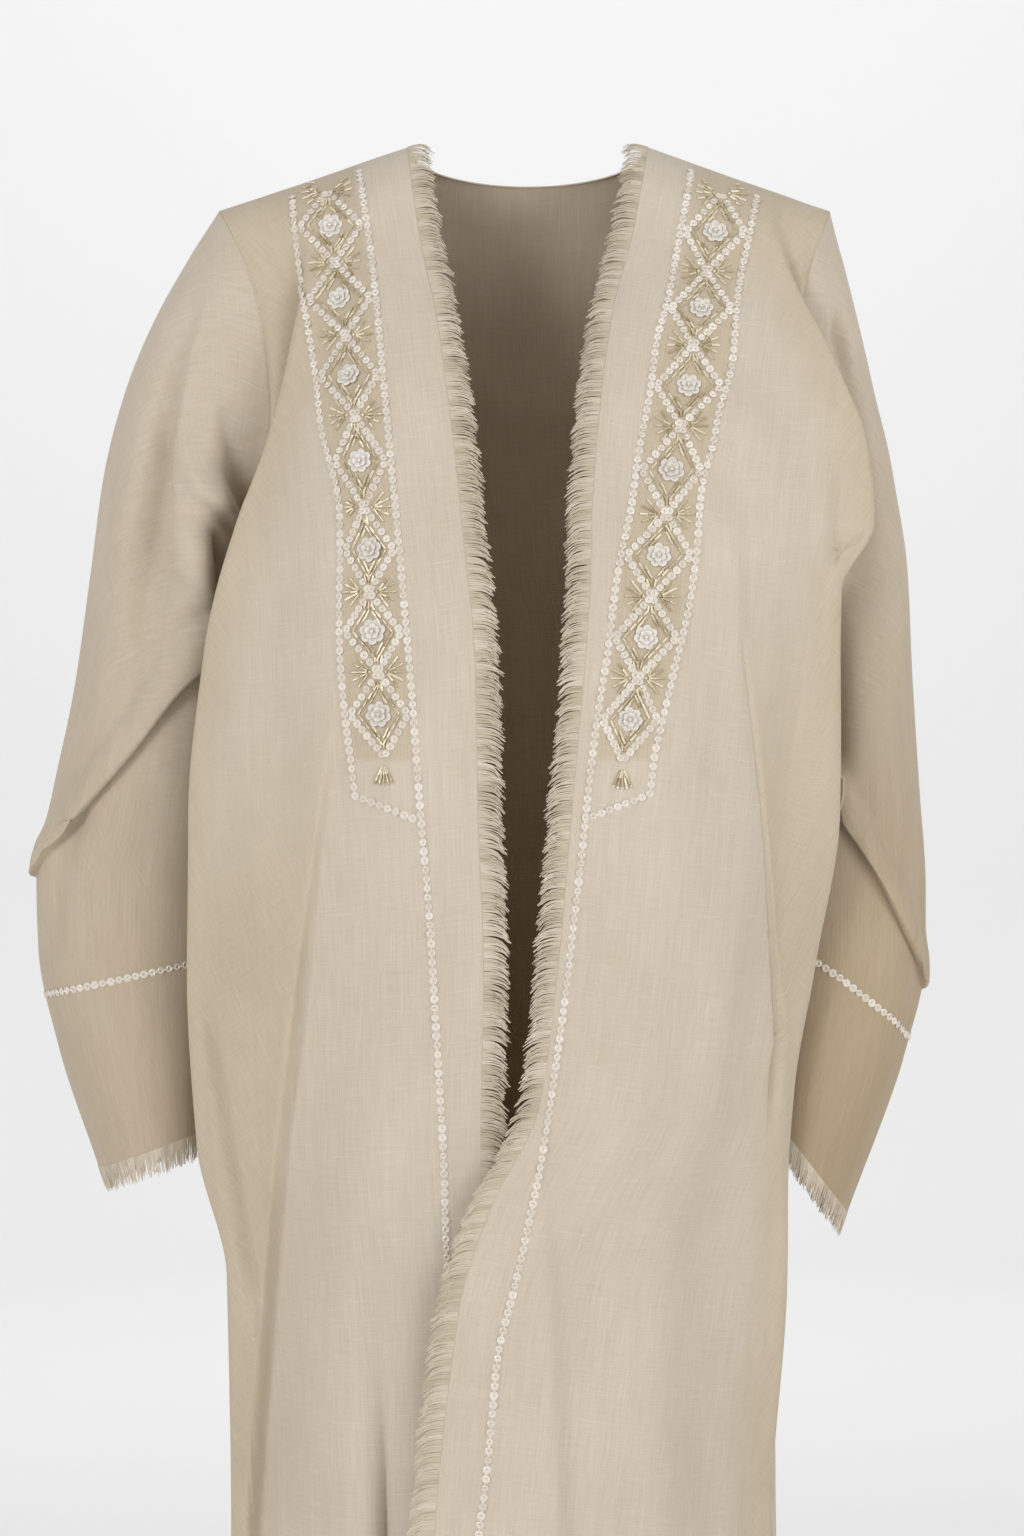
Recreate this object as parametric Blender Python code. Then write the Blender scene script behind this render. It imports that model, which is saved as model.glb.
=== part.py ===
"""Open-front linen abaya, as it hangs on a standing wearer whose arms are down.

Metres, +Z up. The wearer faces -Y, and their left is +X. The origin lies midway between the two
neck points, where the shoulder seams start. Three measures place everything:
    out    away from the middle, towards the piece's own side
    fwd    towards the wearer's front (-Y)
    drop   down from the neck points (-Z)
Each cut piece is one closed wall of cloth. Neighbours at a seam stay a hair apart.
"""

import math
from collections import namedtuple

import bpy
import numpy as np

# ---------------------------------------------------------------- driving sizes
CLOTH = 0.0012  # wall of the linen
SEAM_GAP = 0.00036  # between two pieces that are sewn together, at the middle of their walls
HEM_DROP = 1.360  # neck point to hem
UNDERARM_DROP = 0.225  # neck point to the bottom of the armhole
NECK_OUT = 0.074  # neck point, where the cut front edge crosses the shoulder
NECK_BACK_DROP = 0.018  # how far the back neck dips at the middle
NECK_BACK_AFT = 0.042  # how far it goes round behind the neck
SHOULDER_ROUND = 0.040  # drop over which cloth turns from the shoulder's top to the chest
OVERLAP = 0.0055  # the left front lies this far over the right one
OVERLAP_REACH = 0.034  # and this far beyond its edge, over the fringe
OVERLAP_SINK = 0.060  # further out the lap's floor falls away by this much
OVERLAP_BLEND = 0.003  # and this rounds the cloth where it lifts off
OVERLAP_WIDEST = 0.090  # out beyond which the two fronts never meet
OVERLAP_CREST = 0.004  # a column of the left front follows the crest of that overlap
LIP_BACK, LIP_DEEP = 0.010, 0.012  # how a wing folds back: towards the middle, and behind itself
CHEST_SHARE = 0.46  # where the chest's point lies between the cut edge and the wing
LIP_ARRIVE = 0.014  # cloth runs straight for this length before the wing's edge

RIGHT, LEFT = -1, 1

# ---------------------------------------------------------------- tables of sections
# One row for each level of a front. The wing is the outermost fold, which hangs before the arm;
# lip is how sharply it turns back there, from 0 for a smooth shoulder to 1 for a folded edge.
FrontRow = namedtuple("FrontRow", "drop edge_out edge_fwd chest_fwd wing_out wing_fwd lip")
RIGHT_FRONT = [
    FrontRow(0.000, 0.074, 0.036, 0.038, 0.140, 0.036, 0.0),
    FrontRow(0.060, 0.066, 0.052, 0.060, 0.134, 0.052, 0.0),
    FrontRow(0.120, 0.058, 0.086, 0.090, 0.142, 0.068, 0.5),
    FrontRow(0.180, 0.050, 0.112, 0.110, 0.158, 0.074, 1.0),
    FrontRow(0.240, 0.042, 0.130, 0.122, 0.175, 0.075, 1.0),
    FrontRow(0.320, 0.033, 0.142, 0.132, 0.195, 0.076, 1.0),
    FrontRow(0.410, 0.029, 0.147, 0.136, 0.205, 0.076, 1.0),
    FrontRow(0.500, 0.026, 0.149, 0.138, 0.205, 0.074, 1.0),
    FrontRow(0.610, 0.028, 0.150, 0.138, 0.198, 0.072, 1.0),
    FrontRow(0.690, 0.024, 0.151, 0.138, 0.180, 0.066, 0.9),
    FrontRow(0.850, 0.020, 0.154, 0.140, 0.179, 0.058, 0.7),
    FrontRow(1.080, 0.014, 0.160, 0.146, 0.187, 0.054, 0.5),
    FrontRow(1.360, 0.008, 0.168, 0.152, 0.200, 0.052, 0.4),
]
LEFT_FRONT = [
    FrontRow(0.000, 0.074, 0.036, 0.038, 0.140, 0.036, 0.0),
    FrontRow(0.060, 0.064, 0.052, 0.060, 0.158, 0.056, 0.0),
    FrontRow(0.120, 0.052, 0.086, 0.090, 0.185, 0.074, 0.6),
    FrontRow(0.180, 0.044, 0.112, 0.106, 0.203, 0.080, 1.0),
    FrontRow(0.236, 0.039, 0.130, 0.120, 0.207, 0.081, 1.0),
    FrontRow(0.275, 0.036, 0.138, 0.126, 0.187, 0.080, 1.0),
    FrontRow(0.320, 0.033, 0.142, 0.130, 0.186, 0.078, 1.0),
    FrontRow(0.410, 0.025, 0.148, 0.134, 0.187, 0.075, 1.0),
    FrontRow(0.500, 0.017, 0.151, 0.136, 0.173, 0.068, 1.0),
    FrontRow(0.580, 0.006, 0.152, 0.138, 0.159, 0.069, 1.0),
    FrontRow(0.640, -0.023, 0.151, 0.138, 0.156, 0.068, 1.0),
    FrontRow(0.700, -0.041, 0.150, 0.138, 0.155, 0.066, 1.0),
    FrontRow(0.850, -0.056, 0.150, 0.140, 0.146, 0.058, 0.6),
    FrontRow(1.080, -0.062, 0.154, 0.146, 0.158, 0.054, 0.4),
    FrontRow(1.360, -0.066, 0.158, 0.152, 0.176, 0.052, 0.3),
]
# The back. Its wings differ from side to side, and are the outermost folds behind the arms.
BackRow = namedtuple("BackRow", "drop centre_aft blade_out blade_aft right_wing left_wing wing_aft lip")
BACK = [
    BackRow(0.000, 0.046, 0.090, 0.040, 0.140, 0.140, 0.036, 0.0),
    BackRow(0.060, 0.064, 0.084, 0.064, 0.156, 0.156, 0.054, 0.0),
    BackRow(0.120, 0.080, 0.088, 0.082, 0.162, 0.162, 0.068, 0.0),
    BackRow(0.180, 0.090, 0.092, 0.092, 0.170, 0.170, 0.077, 0.1),
    BackRow(0.240, 0.096, 0.096, 0.097, 0.180, 0.180, 0.082, 0.6),
    BackRow(0.300, 0.098, 0.098, 0.099, 0.187, 0.187, 0.084, 1.0),
    BackRow(0.410, 0.102, 0.098, 0.102, 0.190, 0.187, 0.084, 1.0),
    BackRow(0.520, 0.106, 0.096, 0.105, 0.190, 0.176, 0.084, 1.0),
    BackRow(0.610, 0.110, 0.094, 0.108, 0.188, 0.163, 0.084, 1.0),
    BackRow(0.700, 0.114, 0.092, 0.111, 0.182, 0.157, 0.083, 0.9),
    BackRow(0.850, 0.122, 0.092, 0.116, 0.174, 0.152, 0.080, 0.6),
    BackRow(1.080, 0.134, 0.100, 0.126, 0.180, 0.160, 0.080, 0.4),
    BackRow(1.360, 0.150, 0.108, 0.138, 0.192, 0.178, 0.082, 0.3),
]
# The side seams, tucked in behind each arm's inner side.
SeamRow = namedtuple("SeamRow", "drop right_out left_out fwd")
SIDE_SEAM = [
    SeamRow(0.225, 0.160, 0.150, 0.000),
    SeamRow(0.260, 0.158, 0.138, 0.000),
    SeamRow(0.320, 0.157, 0.124, 0.000),
    SeamRow(0.410, 0.158, 0.118, -0.002),
    SeamRow(0.500, 0.160, 0.116, -0.004),
    SeamRow(0.610, 0.162, 0.118, -0.006),
    SeamRow(0.720, 0.160, 0.130, -0.008),
    SeamRow(0.850, 0.160, 0.138, -0.010),
    SeamRow(1.080, 0.170, 0.152, -0.012),
    SeamRow(1.360, 0.186, 0.174, -0.014),
]
# Armholes: tip at the shoulder seam, bottom under the arm, and how far the two sides bow.
Armhole = namedtuple("Armhole", "tip_out tip_drop bottom_out front_bow back_bow inward")
ARMHOLES = {
    RIGHT: Armhole(0.190, 0.040, 0.160, 0.050, 0.054, 0.016),
    LEFT: Armhole(0.186, 0.040, 0.150, 0.048, 0.054, 0.008),
}
# Sleeves, ring by ring from the armhole to the cut end of the cuff: the ring's outer and inner
# points as seen from the front, its middle's fwd, and half of its depth from front to back.
SleeveRow = namedtuple("SleeveRow", "station outer_out outer_drop inner_out inner_drop fwd deep")
RIGHT_SLEEVE = [
    SleeveRow(0.0, 0.190, 0.040, 0.160, 0.225, 0.000, 0.051),
    SleeveRow(1.0, 0.209, 0.070, 0.175, 0.231, 0.000, 0.053),
    SleeveRow(2.0, 0.229, 0.106, 0.174, 0.254, 0.000, 0.053),
    SleeveRow(3.0, 0.247, 0.150, 0.172, 0.284, -0.002, 0.053),
    SleeveRow(4.0, 0.260, 0.200, 0.171, 0.316, -0.004, 0.052),
    SleeveRow(5.0, 0.269, 0.262, 0.172, 0.350, -0.006, 0.051),
    SleeveRow(6.0, 0.280, 0.334, 0.173, 0.388, -0.008, 0.050),
    SleeveRow(7.0, 0.294, 0.397, 0.176, 0.424, -0.008, 0.050),
    SleeveRow(8.0, 0.304, 0.447, 0.179, 0.456, -0.006, 0.050),
    SleeveRow(9.0, 0.302, 0.496, 0.182, 0.480, -0.004, 0.050),
    SleeveRow(10.0, 0.288, 0.558, 0.186, 0.526, -0.002, 0.051),
    SleeveRow(11.0, 0.264, 0.628, 0.192, 0.602, 0.000, 0.052),
]
LEFT_SLEEVE = [
    SleeveRow(0.0, 0.186, 0.040, 0.150, 0.225, -0.002, 0.051),
    SleeveRow(1.0, 0.196, 0.074, 0.164, 0.231, -0.003, 0.051),
    SleeveRow(2.0, 0.205, 0.112, 0.159, 0.254, -0.002, 0.052),
    SleeveRow(3.0, 0.214, 0.154, 0.149, 0.284, -0.002, 0.053),
    SleeveRow(4.0, 0.224, 0.204, 0.141, 0.316, -0.004, 0.052),
    SleeveRow(5.0, 0.234, 0.262, 0.137, 0.350, -0.006, 0.051),
    SleeveRow(6.0, 0.238, 0.330, 0.134, 0.388, -0.008, 0.051),
    SleeveRow(7.0, 0.242, 0.398, 0.132, 0.424, -0.008, 0.051),
    SleeveRow(8.0, 0.245, 0.454, 0.132, 0.450, -0.006, 0.051),
    SleeveRow(9.0, 0.244, 0.504, 0.132, 0.470, -0.004, 0.052),
    SleeveRow(10.0, 0.231, 0.562, 0.134, 0.508, -0.002, 0.054),
    SleeveRow(11.0, 0.197, 0.657, 0.138, 0.580, 0.000, 0.056),
]

# ---------------------------------------------------------------- tables of folds
# A fold that runs down a front or the back: its out at three drops, how far it lifts off the
# section, how far its lip laps over the cloth beside it, how wide it is, and over how much drop
# it grows.
Fold = namedtuple("Fold", "top mid foot lift lap width grow")
RIGHT_FRONT_FOLDS = [
    Fold((0.300, 0.106), (0.740, 0.160), (1.360, 0.196), 0.011, 0.013, 0.070, 0.22),
    Fold((0.560, 0.092), (0.800, 0.088), (1.360, 0.090), -0.016, 0.000, 0.040, 0.30),
]
LEFT_FRONT_FOLDS = [
    Fold((0.240, 0.118), (0.500, 0.148), (0.640, 0.156), 0.007, 0.004, 0.060, 0.20),
    Fold((0.560, 0.082), (0.850, 0.072), (1.360, 0.074), -0.012, 0.000, 0.044, 0.30),
]
BACK_FOLDS = [
    Fold((0.240, 0.000), (0.700, 0.004), (1.360, 0.006), -0.020, 0.000, 0.034, 0.70),
    Fold((0.280, 0.046), (0.700, 0.050), (1.360, 0.056), 0.016, 0.000, 0.034, 0.60),
    Fold((0.240, 0.092), (0.700, 0.096), (1.360, 0.104), -0.020, 0.000, 0.032, 0.70),
    Fold((0.300, 0.132), (0.700, 0.138), (1.360, 0.152), 0.012, 0.000, 0.030, 0.60),
    Fold((0.280, -0.050), (0.700, -0.044), (1.360, -0.050), 0.018, 0.000, 0.034, 0.60),
    Fold((0.240, -0.088), (0.700, -0.090), (1.360, -0.098), -0.018, 0.000, 0.032, 0.70),
    Fold((0.300, -0.128), (0.700, -0.134), (1.360, -0.148), 0.013, 0.000, 0.030, 0.60),
]
# A crease that crosses a sleeve's front at the elbow: its station at the outer side and how much
# earlier it lies at the inner side, its lift and its lap over the forearm.
Elbow = namedtuple("Elbow", "outer_station climb lift lap reach")
ELBOWS = {
    RIGHT: Elbow(8.0, 4.6, 0.009, 0.013, 0.030),
    LEFT: Elbow(9.2, 4.8, 0.008, 0.013, 0.030),
}
# A soft fold along a sleeve: where it lies round the ring (0 outer, 90 front, 180 inner), between
# which stations, its lift and its width round the ring.
Crease = namedtuple("Crease", "top_turn foot_turn top_station foot_station lift width")
SLEEVE_CREASES = {
    RIGHT: [
        Crease(112, 100, 0.6, 5.6, 0.010, 16),
        Crease(74, 70, 0.8, 7.0, -0.009, 16),
        Crease(250, 262, 1.0, 8.0, 0.008, 20),
    ],
    LEFT: [
        Crease(64, 76, 0.6, 6.4, -0.008, 16),
        Crease(250, 240, 1.0, 8.0, 0.008, 20),
    ],
}

LAP_TURN = 0.50  # half the width over which a lapping fold turns back, as a share of its lap
FOLD_FADE = 0.10  # a fold that ends above the hem fades over this drop
ELBOW_TURN = 0.20  # half the width over which the elbow's crease turns back, in stations
STATION_LONG = 0.052  # length of a station along a sleeve's middle
SLEEVE_FREED = 0.70  # station where the sleeve has left the armhole's own shape

# ---------------------------------------------------------------- how finely it is divided
ARMHOLE_ROWS = 11
BODY_DROPS = (0.244, 0.264, 0.300, 0.345, 0.390, 0.435, 0.480, 0.530, 0.580, 0.620, 0.660,
              0.700, 0.750, 0.810, 0.870, 0.940, 1.010, 1.090, 1.170, 1.260, HEM_DROP)
FRONT_STEPS = (2, 3, 1, 1, 2, 2, 2, 1, 2)
BACK_STEPS = (2, 1, 2, 2, 9)
NECK_STEPS = 8
SLEEVE_STEPS = (1, 9, 1, 1, 1, 1, 6)
SLEEVE_START = 0.50  # station of the first ring after the armhole
ELBOW_STATIONS = (-0.50, -ELBOW_TURN, 0.0, ELBOW_TURN, 0.50)
RIDGE_FIRST, RIDGE_LAST = 0.024, 0.004  # a front's ridge columns keep this far from its ends
LOCK_WIDTH = 0.0180
CUFF_LOCK_SHARE = 2  # locks between two points of a cuff's ring

# ---------------------------------------------------------------- fringe
FRINGE_STRIP = 0.003  # woven strip that the threads hang from
FRINGE_LONG = 0.014
FRINGE_THICK = 0.0010
LOCK_TIP_SHARE = 0.34  # width of a lock's end, as a share of its root
LOCK_SHORTEST, LOCK_SPREAD = 0.82, 0.30  # shares of FRINGE_LONG
LOCK_DROOP, LOCK_SWAY = 0.25, 0.08
FRONT_HANG, CUFF_HANG = 0.25, 0.10


# ---------------------------------------------------------------- curves
def smoothstep(low, high, x):
    share = np.clip((x - low) / (high - low), 0.0, 1.0)
    return share * share * (3.0 - 2.0 * share)


def flow(xs, ys, x):
    """A smooth curve through the points (xs, ys) that never overshoots them, read at x."""
    xs, ys = np.asarray(xs, float), np.asarray(ys, float)
    step, rise = np.diff(xs), np.diff(ys) / np.diff(xs)
    slope = np.zeros(len(xs))
    slope[0], slope[-1] = rise[0], rise[-1]
    for k in range(1, len(xs) - 1):
        if rise[k - 1] * rise[k] > 0.0:
            before, after = step[k - 1] + 2 * step[k], 2 * step[k - 1] + step[k]
            slope[k] = (before + after) / (before / rise[k] + after / rise[k - 1])
    x = np.clip(x, xs[0], xs[-1])
    k = np.clip(np.searchsorted(xs, x, side="right") - 1, 0, len(xs) - 2)
    t = (x - xs[k]) / step[k]
    start = (1 + 2 * t) * (1 - t) ** 2 * ys[k] + t * (1 - t) ** 2 * step[k] * slope[k]
    return start + t * t * (3 - 2 * t) * ys[k + 1] + t * t * (t - 1) * step[k] * slope[k + 1]


def column(table, name, at, key="drop"):
    """One named column of a table, read smoothly between its rows."""
    return float(flow([getattr(r, key) for r in table], [getattr(r, name) for r in table], at))


def thread(points, ends=(None, None), per_segment=40):
    """A smooth curve through the points. Returns its guide numbers (0 at the first point, 1 at
    the second and so on) and its points. ends may fix the direction in which it starts or stops."""
    points = np.asarray(points, float)
    chord = np.maximum(np.linalg.norm(np.diff(points, axis=0), axis=1), 1e-9)[:, None]
    ray = np.diff(points, axis=0) / chord
    slope = np.empty_like(points)
    slope[1:-1] = (ray[:-1] * chord[1:] + ray[1:] * chord[:-1]) / (chord[1:] + chord[:-1])
    slope[0] = ray[0] if ends[0] is None else ends[0]
    slope[-1] = ray[-1] if ends[1] is None else ends[1]
    guide = np.linspace(0, len(points) - 1, (len(points) - 1) * per_segment + 1)
    k = np.minimum(guide.astype(int), len(points) - 2)
    t = (guide - k)[:, None]
    curve = (1 + 2 * t) * (1 - t) ** 2 * points[k] + t * (1 - t) ** 2 * chord[k] * slope[k]
    curve += t * t * (3 - 2 * t) * points[k + 1] + t * t * (t - 1) * chord[k] * slope[k + 1]
    return guide, curve


def unit(v):
    return v / np.maximum(np.linalg.norm(v, axis=-1, keepdims=True), 1e-12)


# ---------------------------------------------------------------- folds in a section
def lengths(curve):
    return np.concatenate([[0], np.cumsum(np.linalg.norm(np.diff(curve, axis=0), axis=1))])


def fold_out(fold, drop):
    drops, outs = zip(fold.top, fold.mid, fold.foot)
    return float(flow(drops, outs, drop))


def fold_strength(fold, drop):
    """A fold grows from nothing below its top. One that ends above the hem fades again."""
    grown = smoothstep(fold.top[0], fold.top[0] + fold.grow, drop)
    if fold.foot[0] < HEM_DROP:
        grown = grown * (1 - smoothstep(fold.foot[0] - FOLD_FADE, fold.foot[0], drop))
    return float(grown)


def folded(curve, places, folds, drop):
    """The section's curve with its folds laid in, each at its place along the curve."""
    along = lengths(curve)
    tangent = unit(np.gradient(curve, axis=0))
    outward = np.stack([tangent[:, 1], -tangent[:, 0]], axis=1)
    moved = curve.copy()
    for fold, at in zip(folds, places):
        off = along - at
        if fold.lap > 0.0:
            turn = fold.lap * LAP_TURN
            raised = smoothstep(-fold.width, -turn, off) * (1 - smoothstep(-turn, turn, off))
            shifted = smoothstep(-3 * turn, -turn, off) * (1 - smoothstep(-turn, turn, off))
            moved += tangent * (fold.lap * fold_strength(fold, drop) * shifted)[:, None]
        else:
            raised = np.exp(-2 * (off / fold.width) ** 2)
        moved += outward * (fold.lift * fold_strength(fold, drop) * raised)[:, None]
    return moved


# ---------------------------------------------------------------- the body's sections
def shoulder_slope(side, out):
    """How far the shoulder seam lies below the neck point."""
    hole = ARMHOLES[side]
    return hole.tip_drop * (out - NECK_OUT) / (hole.tip_out - NECK_OUT)


def armhole_point(side, turn, front):
    """A point of the armhole. turn is 0 at the tip and 1 under the arm."""
    hole = ARMHOLES[side]
    wave = math.sin(math.pi * turn)
    down = (1 - math.cos(math.pi * turn)) / 2
    bow = max(wave, 0.0) ** 0.7
    out = hole.tip_out + (hole.bottom_out - hole.tip_out) * down - hole.inward * wave**2 * front
    fwd = hole.front_bow * bow if front else -hole.back_bow * bow
    drop = UNDERARM_DROP * down + shoulder_slope(side, out) * (1 - down)
    return np.array([out, fwd, drop])


def row_drops():
    """Drops of the rows. Those beside the armhole crowd at its two ends."""
    turns = np.linspace(0, 1, ARMHOLE_ROWS + 1)
    return np.concatenate([UNDERARM_DROP * (1 - np.cos(np.pi * turns)) / 2, BODY_DROPS])


def rounded(drop):
    """Share of its full depth that the cloth has this far below the shoulder's top."""
    return math.sqrt(1 - (1 - min(drop / SHOULDER_ROUND, 1.0)) ** 2)


def seam_point(side, drop, front):
    """(out, fwd) where a front or the back ends: at the armhole, or at the side seam."""
    if drop < UNDERARM_DROP:
        turn = math.acos(1 - 2 * drop / UNDERARM_DROP) / math.pi
        return armhole_point(side, turn, front)[:2]
    name = "right_out" if side == RIGHT else "left_out"
    return np.array([column(SIDE_SEAM, name, drop), column(SIDE_SEAM, "fwd", drop)])


def seam_direction(drop):
    """Cloth passes the side seam heading straight aft. Beside the armhole it is free."""
    return np.array([0.0, -1.0]) if drop >= UNDERARM_DROP else None


def lip_points(before, wing, seam, lip):
    """Where the cloth arrives at a wing, its tip, and two points on its way back to the seam."""
    arrive = wing - unit(wing - before) * LIP_ARRIVE
    behind = -1.0 if wing[1] > 0 else 1.0
    straight = seam - wing
    leave = wing + straight * 0.33 * (1 - lip) + np.array([-LIP_BACK, behind * LIP_DEEP]) * lip
    corner = seam + (leave - seam) * np.array([0.15, 0.85])
    pocket = (wing + straight * 0.66) * (1 - lip) + corner * lip
    return arrive, wing, leave, pocket


def front_curve(side, drop):
    """A front's section as (out, fwd) points, from its cut edge to the seam, with its folds, and
    the distances along it of the places that its columns keep to."""
    table = RIGHT_FRONT if side == RIGHT else LEFT_FRONT
    read = {name: column(table, name, drop) for name in FrontRow._fields[1:]}
    full = rounded(drop)
    edge = np.array([read["edge_out"], read["edge_fwd"] * full])
    wing = np.array([read["wing_out"], read["wing_fwd"] * full])
    chest = np.array([edge[0] + (wing[0] - edge[0]) * CHEST_SHARE, read["chest_fwd"] * full])
    seam = seam_point(side, drop, True)
    points = [edge, chest, *lip_points(chest, wing, seam, read["lip"]), seam]
    guide, curve = thread(points, (None, seam_direction(drop)))
    if side == LEFT:
        curve = laid_over(curve, drop)
    along = lengths(curve)
    face = int(np.searchsorted(guide, 2.0))
    folds = RIGHT_FRONT_FOLDS if side == RIGHT else LEFT_FRONT_FOLDS
    places = [float(np.interp(fold_out(f, drop), curve[:face, 0], along[:face])) for f in folds]
    turn = folds[0].lap * LAP_TURN
    ridge = min(max(places[0], RIDGE_FIRST), along[face] - turn - RIDGE_LAST)
    crest = float(np.interp(OVERLAP_CREST, curve[:face, 0], along[:face]))
    marks = [0.0, max(crest, 0.3 * (ridge - turn)), ridge - turn, ridge, ridge + turn]
    marks += [float(np.interp(k, guide, along)) for k in (2, 3, 4, 5, 6)]
    return folded(curve, places, folds, drop), along, marks


def laid_over(curve, drop):
    """The left front's curve, lifted where it would meet the right front or its fringe."""
    under, along, marks = front_curve(RIGHT, drop)
    face = under[along <= marks[5]]
    x, fwd = -face[::-1, 0], face[::-1, 1]
    beyond = smoothstep(OVERLAP_REACH, OVERLAP_REACH * 2, curve[:, 0] - x[-1])
    floor = np.interp(curve[:, 0], x, fwd) + OVERLAP - OVERLAP_SINK * beyond
    lifted = curve.copy()
    near = curve[:, 1] - floor
    lifted[:, 1] = floor + (near + np.sqrt(near**2 + OVERLAP_BLEND**2)) / 2
    return np.where((curve[:, 0] < OVERLAP_WIDEST)[:, None], lifted, curve)


def back_curve(side, drop):
    """Half of the back's section as (out, fwd) points, from the seam to the middle."""
    read = {name: column(BACK, name, drop) for name in BackRow._fields[1:]}
    full = rounded(drop)
    seam = seam_point(side, drop, False)
    wing_out = read["right_wing" if side == RIGHT else "left_wing"]
    wing = np.array([wing_out, -read["wing_aft"] * full])
    blade = np.array([read["blade_out"], -read["blade_aft"] * full])
    middle = np.array([0.0, -read["centre_aft"] * full])
    arrive, wing, leave, pocket = lip_points(blade, wing, seam, read["lip"])
    points = [seam, pocket, leave, wing, arrive, blade, middle]
    return thread(points, (seam_direction(drop), np.array([-1.0, 0.0])))


def place(side, drop, out, fwd):
    """The point as x, y, z. Rows follow the slope of the shoulder at the top."""
    fade = 1 - min(drop / UNDERARM_DROP, 1.0)
    return np.array([side * out, -fwd, -(drop + shoulder_slope(side, out) * fade)])


def spread(marks, steps):
    """Numbers that run from each mark to the next one in so many even steps."""
    runs = [np.linspace(a, b, n + 1)[:-1] for a, b, n in zip(marks, marks[1:], steps)]
    return np.concatenate([*runs, [marks[-1]]])


def read_curve(numbers, curve, at):
    return np.stack([np.interp(at, numbers, curve[:, k]) for k in range(curve.shape[1])], axis=1)


def front_sheet(side):
    """The middle of a front's wall, as a grid: rows down the panel, columns from edge to seam."""
    grid = []
    for drop in row_drops():
        curve, along, marks = front_curve(side, drop)
        points = read_curve(along, curve, spread(marks, FRONT_STEPS))
        grid.append([place(side, drop, out, fwd) for out, fwd in points])
    return np.array(grid)


def back_sheet(fronts):
    """The middle of the back's wall: rows down, columns from the right seam to the left one.
    Its shoulder and side seams are those of the fronts."""
    grid = []
    half = spread((0, 1, 2, 3, 4, 5.15), BACK_STEPS)
    middle = np.linspace(half[-1], 12 - half[-1], NECK_STEPS + 1)[1:-1]
    at = np.concatenate([half, middle, 12 - half[::-1]])
    for drop in row_drops():
        guide, right = back_curve(RIGHT, drop)
        _, left = back_curve(LEFT, drop)
        whole = np.concatenate([right * np.array([-1.0, 1.0]), left[::-1][1:]])
        along = lengths(whole)
        behind = slice(int(len(guide) * 4 / 6), 2 * len(guide) - int(len(guide) * 4 / 6))
        places = [np.interp(fold_out(f, drop), whole[behind, 0], along[behind]) for f in BACK_FOLDS]
        numbers = np.concatenate([guide, 12 - guide[::-1][1:]])
        points = read_curve(numbers, folded(whole, places, BACK_FOLDS, drop), at)
        grid.append([back_place(drop, x, fwd) for x, fwd in points])
    grid = np.array(grid)
    columns = fronts[RIGHT].shape[1]
    grid[0, :columns] = fronts[RIGHT][0][::-1]
    grid[0, -columns:] = fronts[LEFT][0]
    for row in range(ARMHOLE_ROWS, len(grid)):
        grid[row, 0] = fronts[RIGHT][row, -1]
        grid[row, -1] = fronts[LEFT][row, -1]
    across = np.linspace(-1, 1, NECK_STEPS + 1)[1:-1]
    dip = np.sqrt(1 - across**2)
    neck = np.stack([across * NECK_OUT, dip * NECK_BACK_AFT, -dip * NECK_BACK_DROP], axis=1)
    grid[0, columns:-columns] = neck
    return grid


def back_place(drop, x, fwd):
    """The back's own point. Between the neck points its rows follow the dip of the neck."""
    point = place(LEFT if x > 0 else RIGHT, drop, abs(x), fwd)
    inside = math.sqrt(max(1 - (x / NECK_OUT) ** 2, 0.0))
    fade = 1 - min(drop / UNDERARM_DROP, 1.0)
    point[1] += NECK_BACK_AFT * inside * (1 - rounded(drop))
    if inside > 0.0:
        point[2] = -(drop + NECK_BACK_DROP * inside * fade)
    return point


# ---------------------------------------------------------------- sleeves
def sleeve_points(side, stations, turns):
    """Points of a sleeve, each at its station down the arm and its turn round it."""
    table = RIGHT_SLEEVE if side == RIGHT else LEFT_SLEEVE
    own = [row.station for row in table]
    read = {n: flow(own, [getattr(r, n) for r in table], stations) for n in SleeveRow._fields[1:]}
    outer = np.stack([read["outer_out"], read["fwd"], read["outer_drop"]], axis=-1)
    inner = np.stack([read["inner_out"], read["fwd"], read["inner_drop"]], axis=-1)
    ahead = np.stack([0 * stations, read["deep"], 0 * stations], axis=-1)
    round_arm = np.cos(turns)[..., None] * (outer - inner) / 2
    return (outer + inner) / 2 + round_arm + np.sin(turns)[..., None] * ahead


def elbow_crossing(side, turns):
    """Station at which the elbow's crease crosses each turn round the sleeve."""
    elbow = ELBOWS[side]
    return elbow.outer_station - elbow.climb * (1 - np.cos(turns)) / 2


def sleeve_sheet(side):
    """The middle of a sleeve's wall: rings down the arm, points round it from the shoulder tip
    through the front, the underarm and the back. The rings lean with the elbow's crease."""
    rows = ARMHOLE_ROWS
    turns = np.linspace(0, 2 * math.pi, 2 * rows + 1)[:-1]
    hole = [armhole_point(side, k / rows, True) for k in range(rows + 1)]
    hole += [armhole_point(side, 1 - k / rows, False) for k in range(1, rows)]
    crossing = elbow_crossing(side, turns)
    last = RIGHT_SLEEVE[-1].station
    marks = [np.zeros_like(turns), np.full_like(turns, SLEEVE_START)]
    marks += [*(crossing + s for s in ELBOW_STATIONS), np.full_like(turns, last)]
    stations = np.array([spread([m[k] for m in marks], SLEEVE_STEPS) for k in range(len(turns))]).T
    rings = sleeve_points(side, stations, turns[None, :] + 0 * stations)
    freed = smoothstep(0.0, SLEEVE_FREED, stations)[..., None]
    rings = np.array(hole)[None] * (1 - freed) + rings * freed
    rings[1:] = sleeve_folded(side, rings, stations, turns)[1:]
    return rings * np.array([side, -1.0, -1.0])


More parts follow.
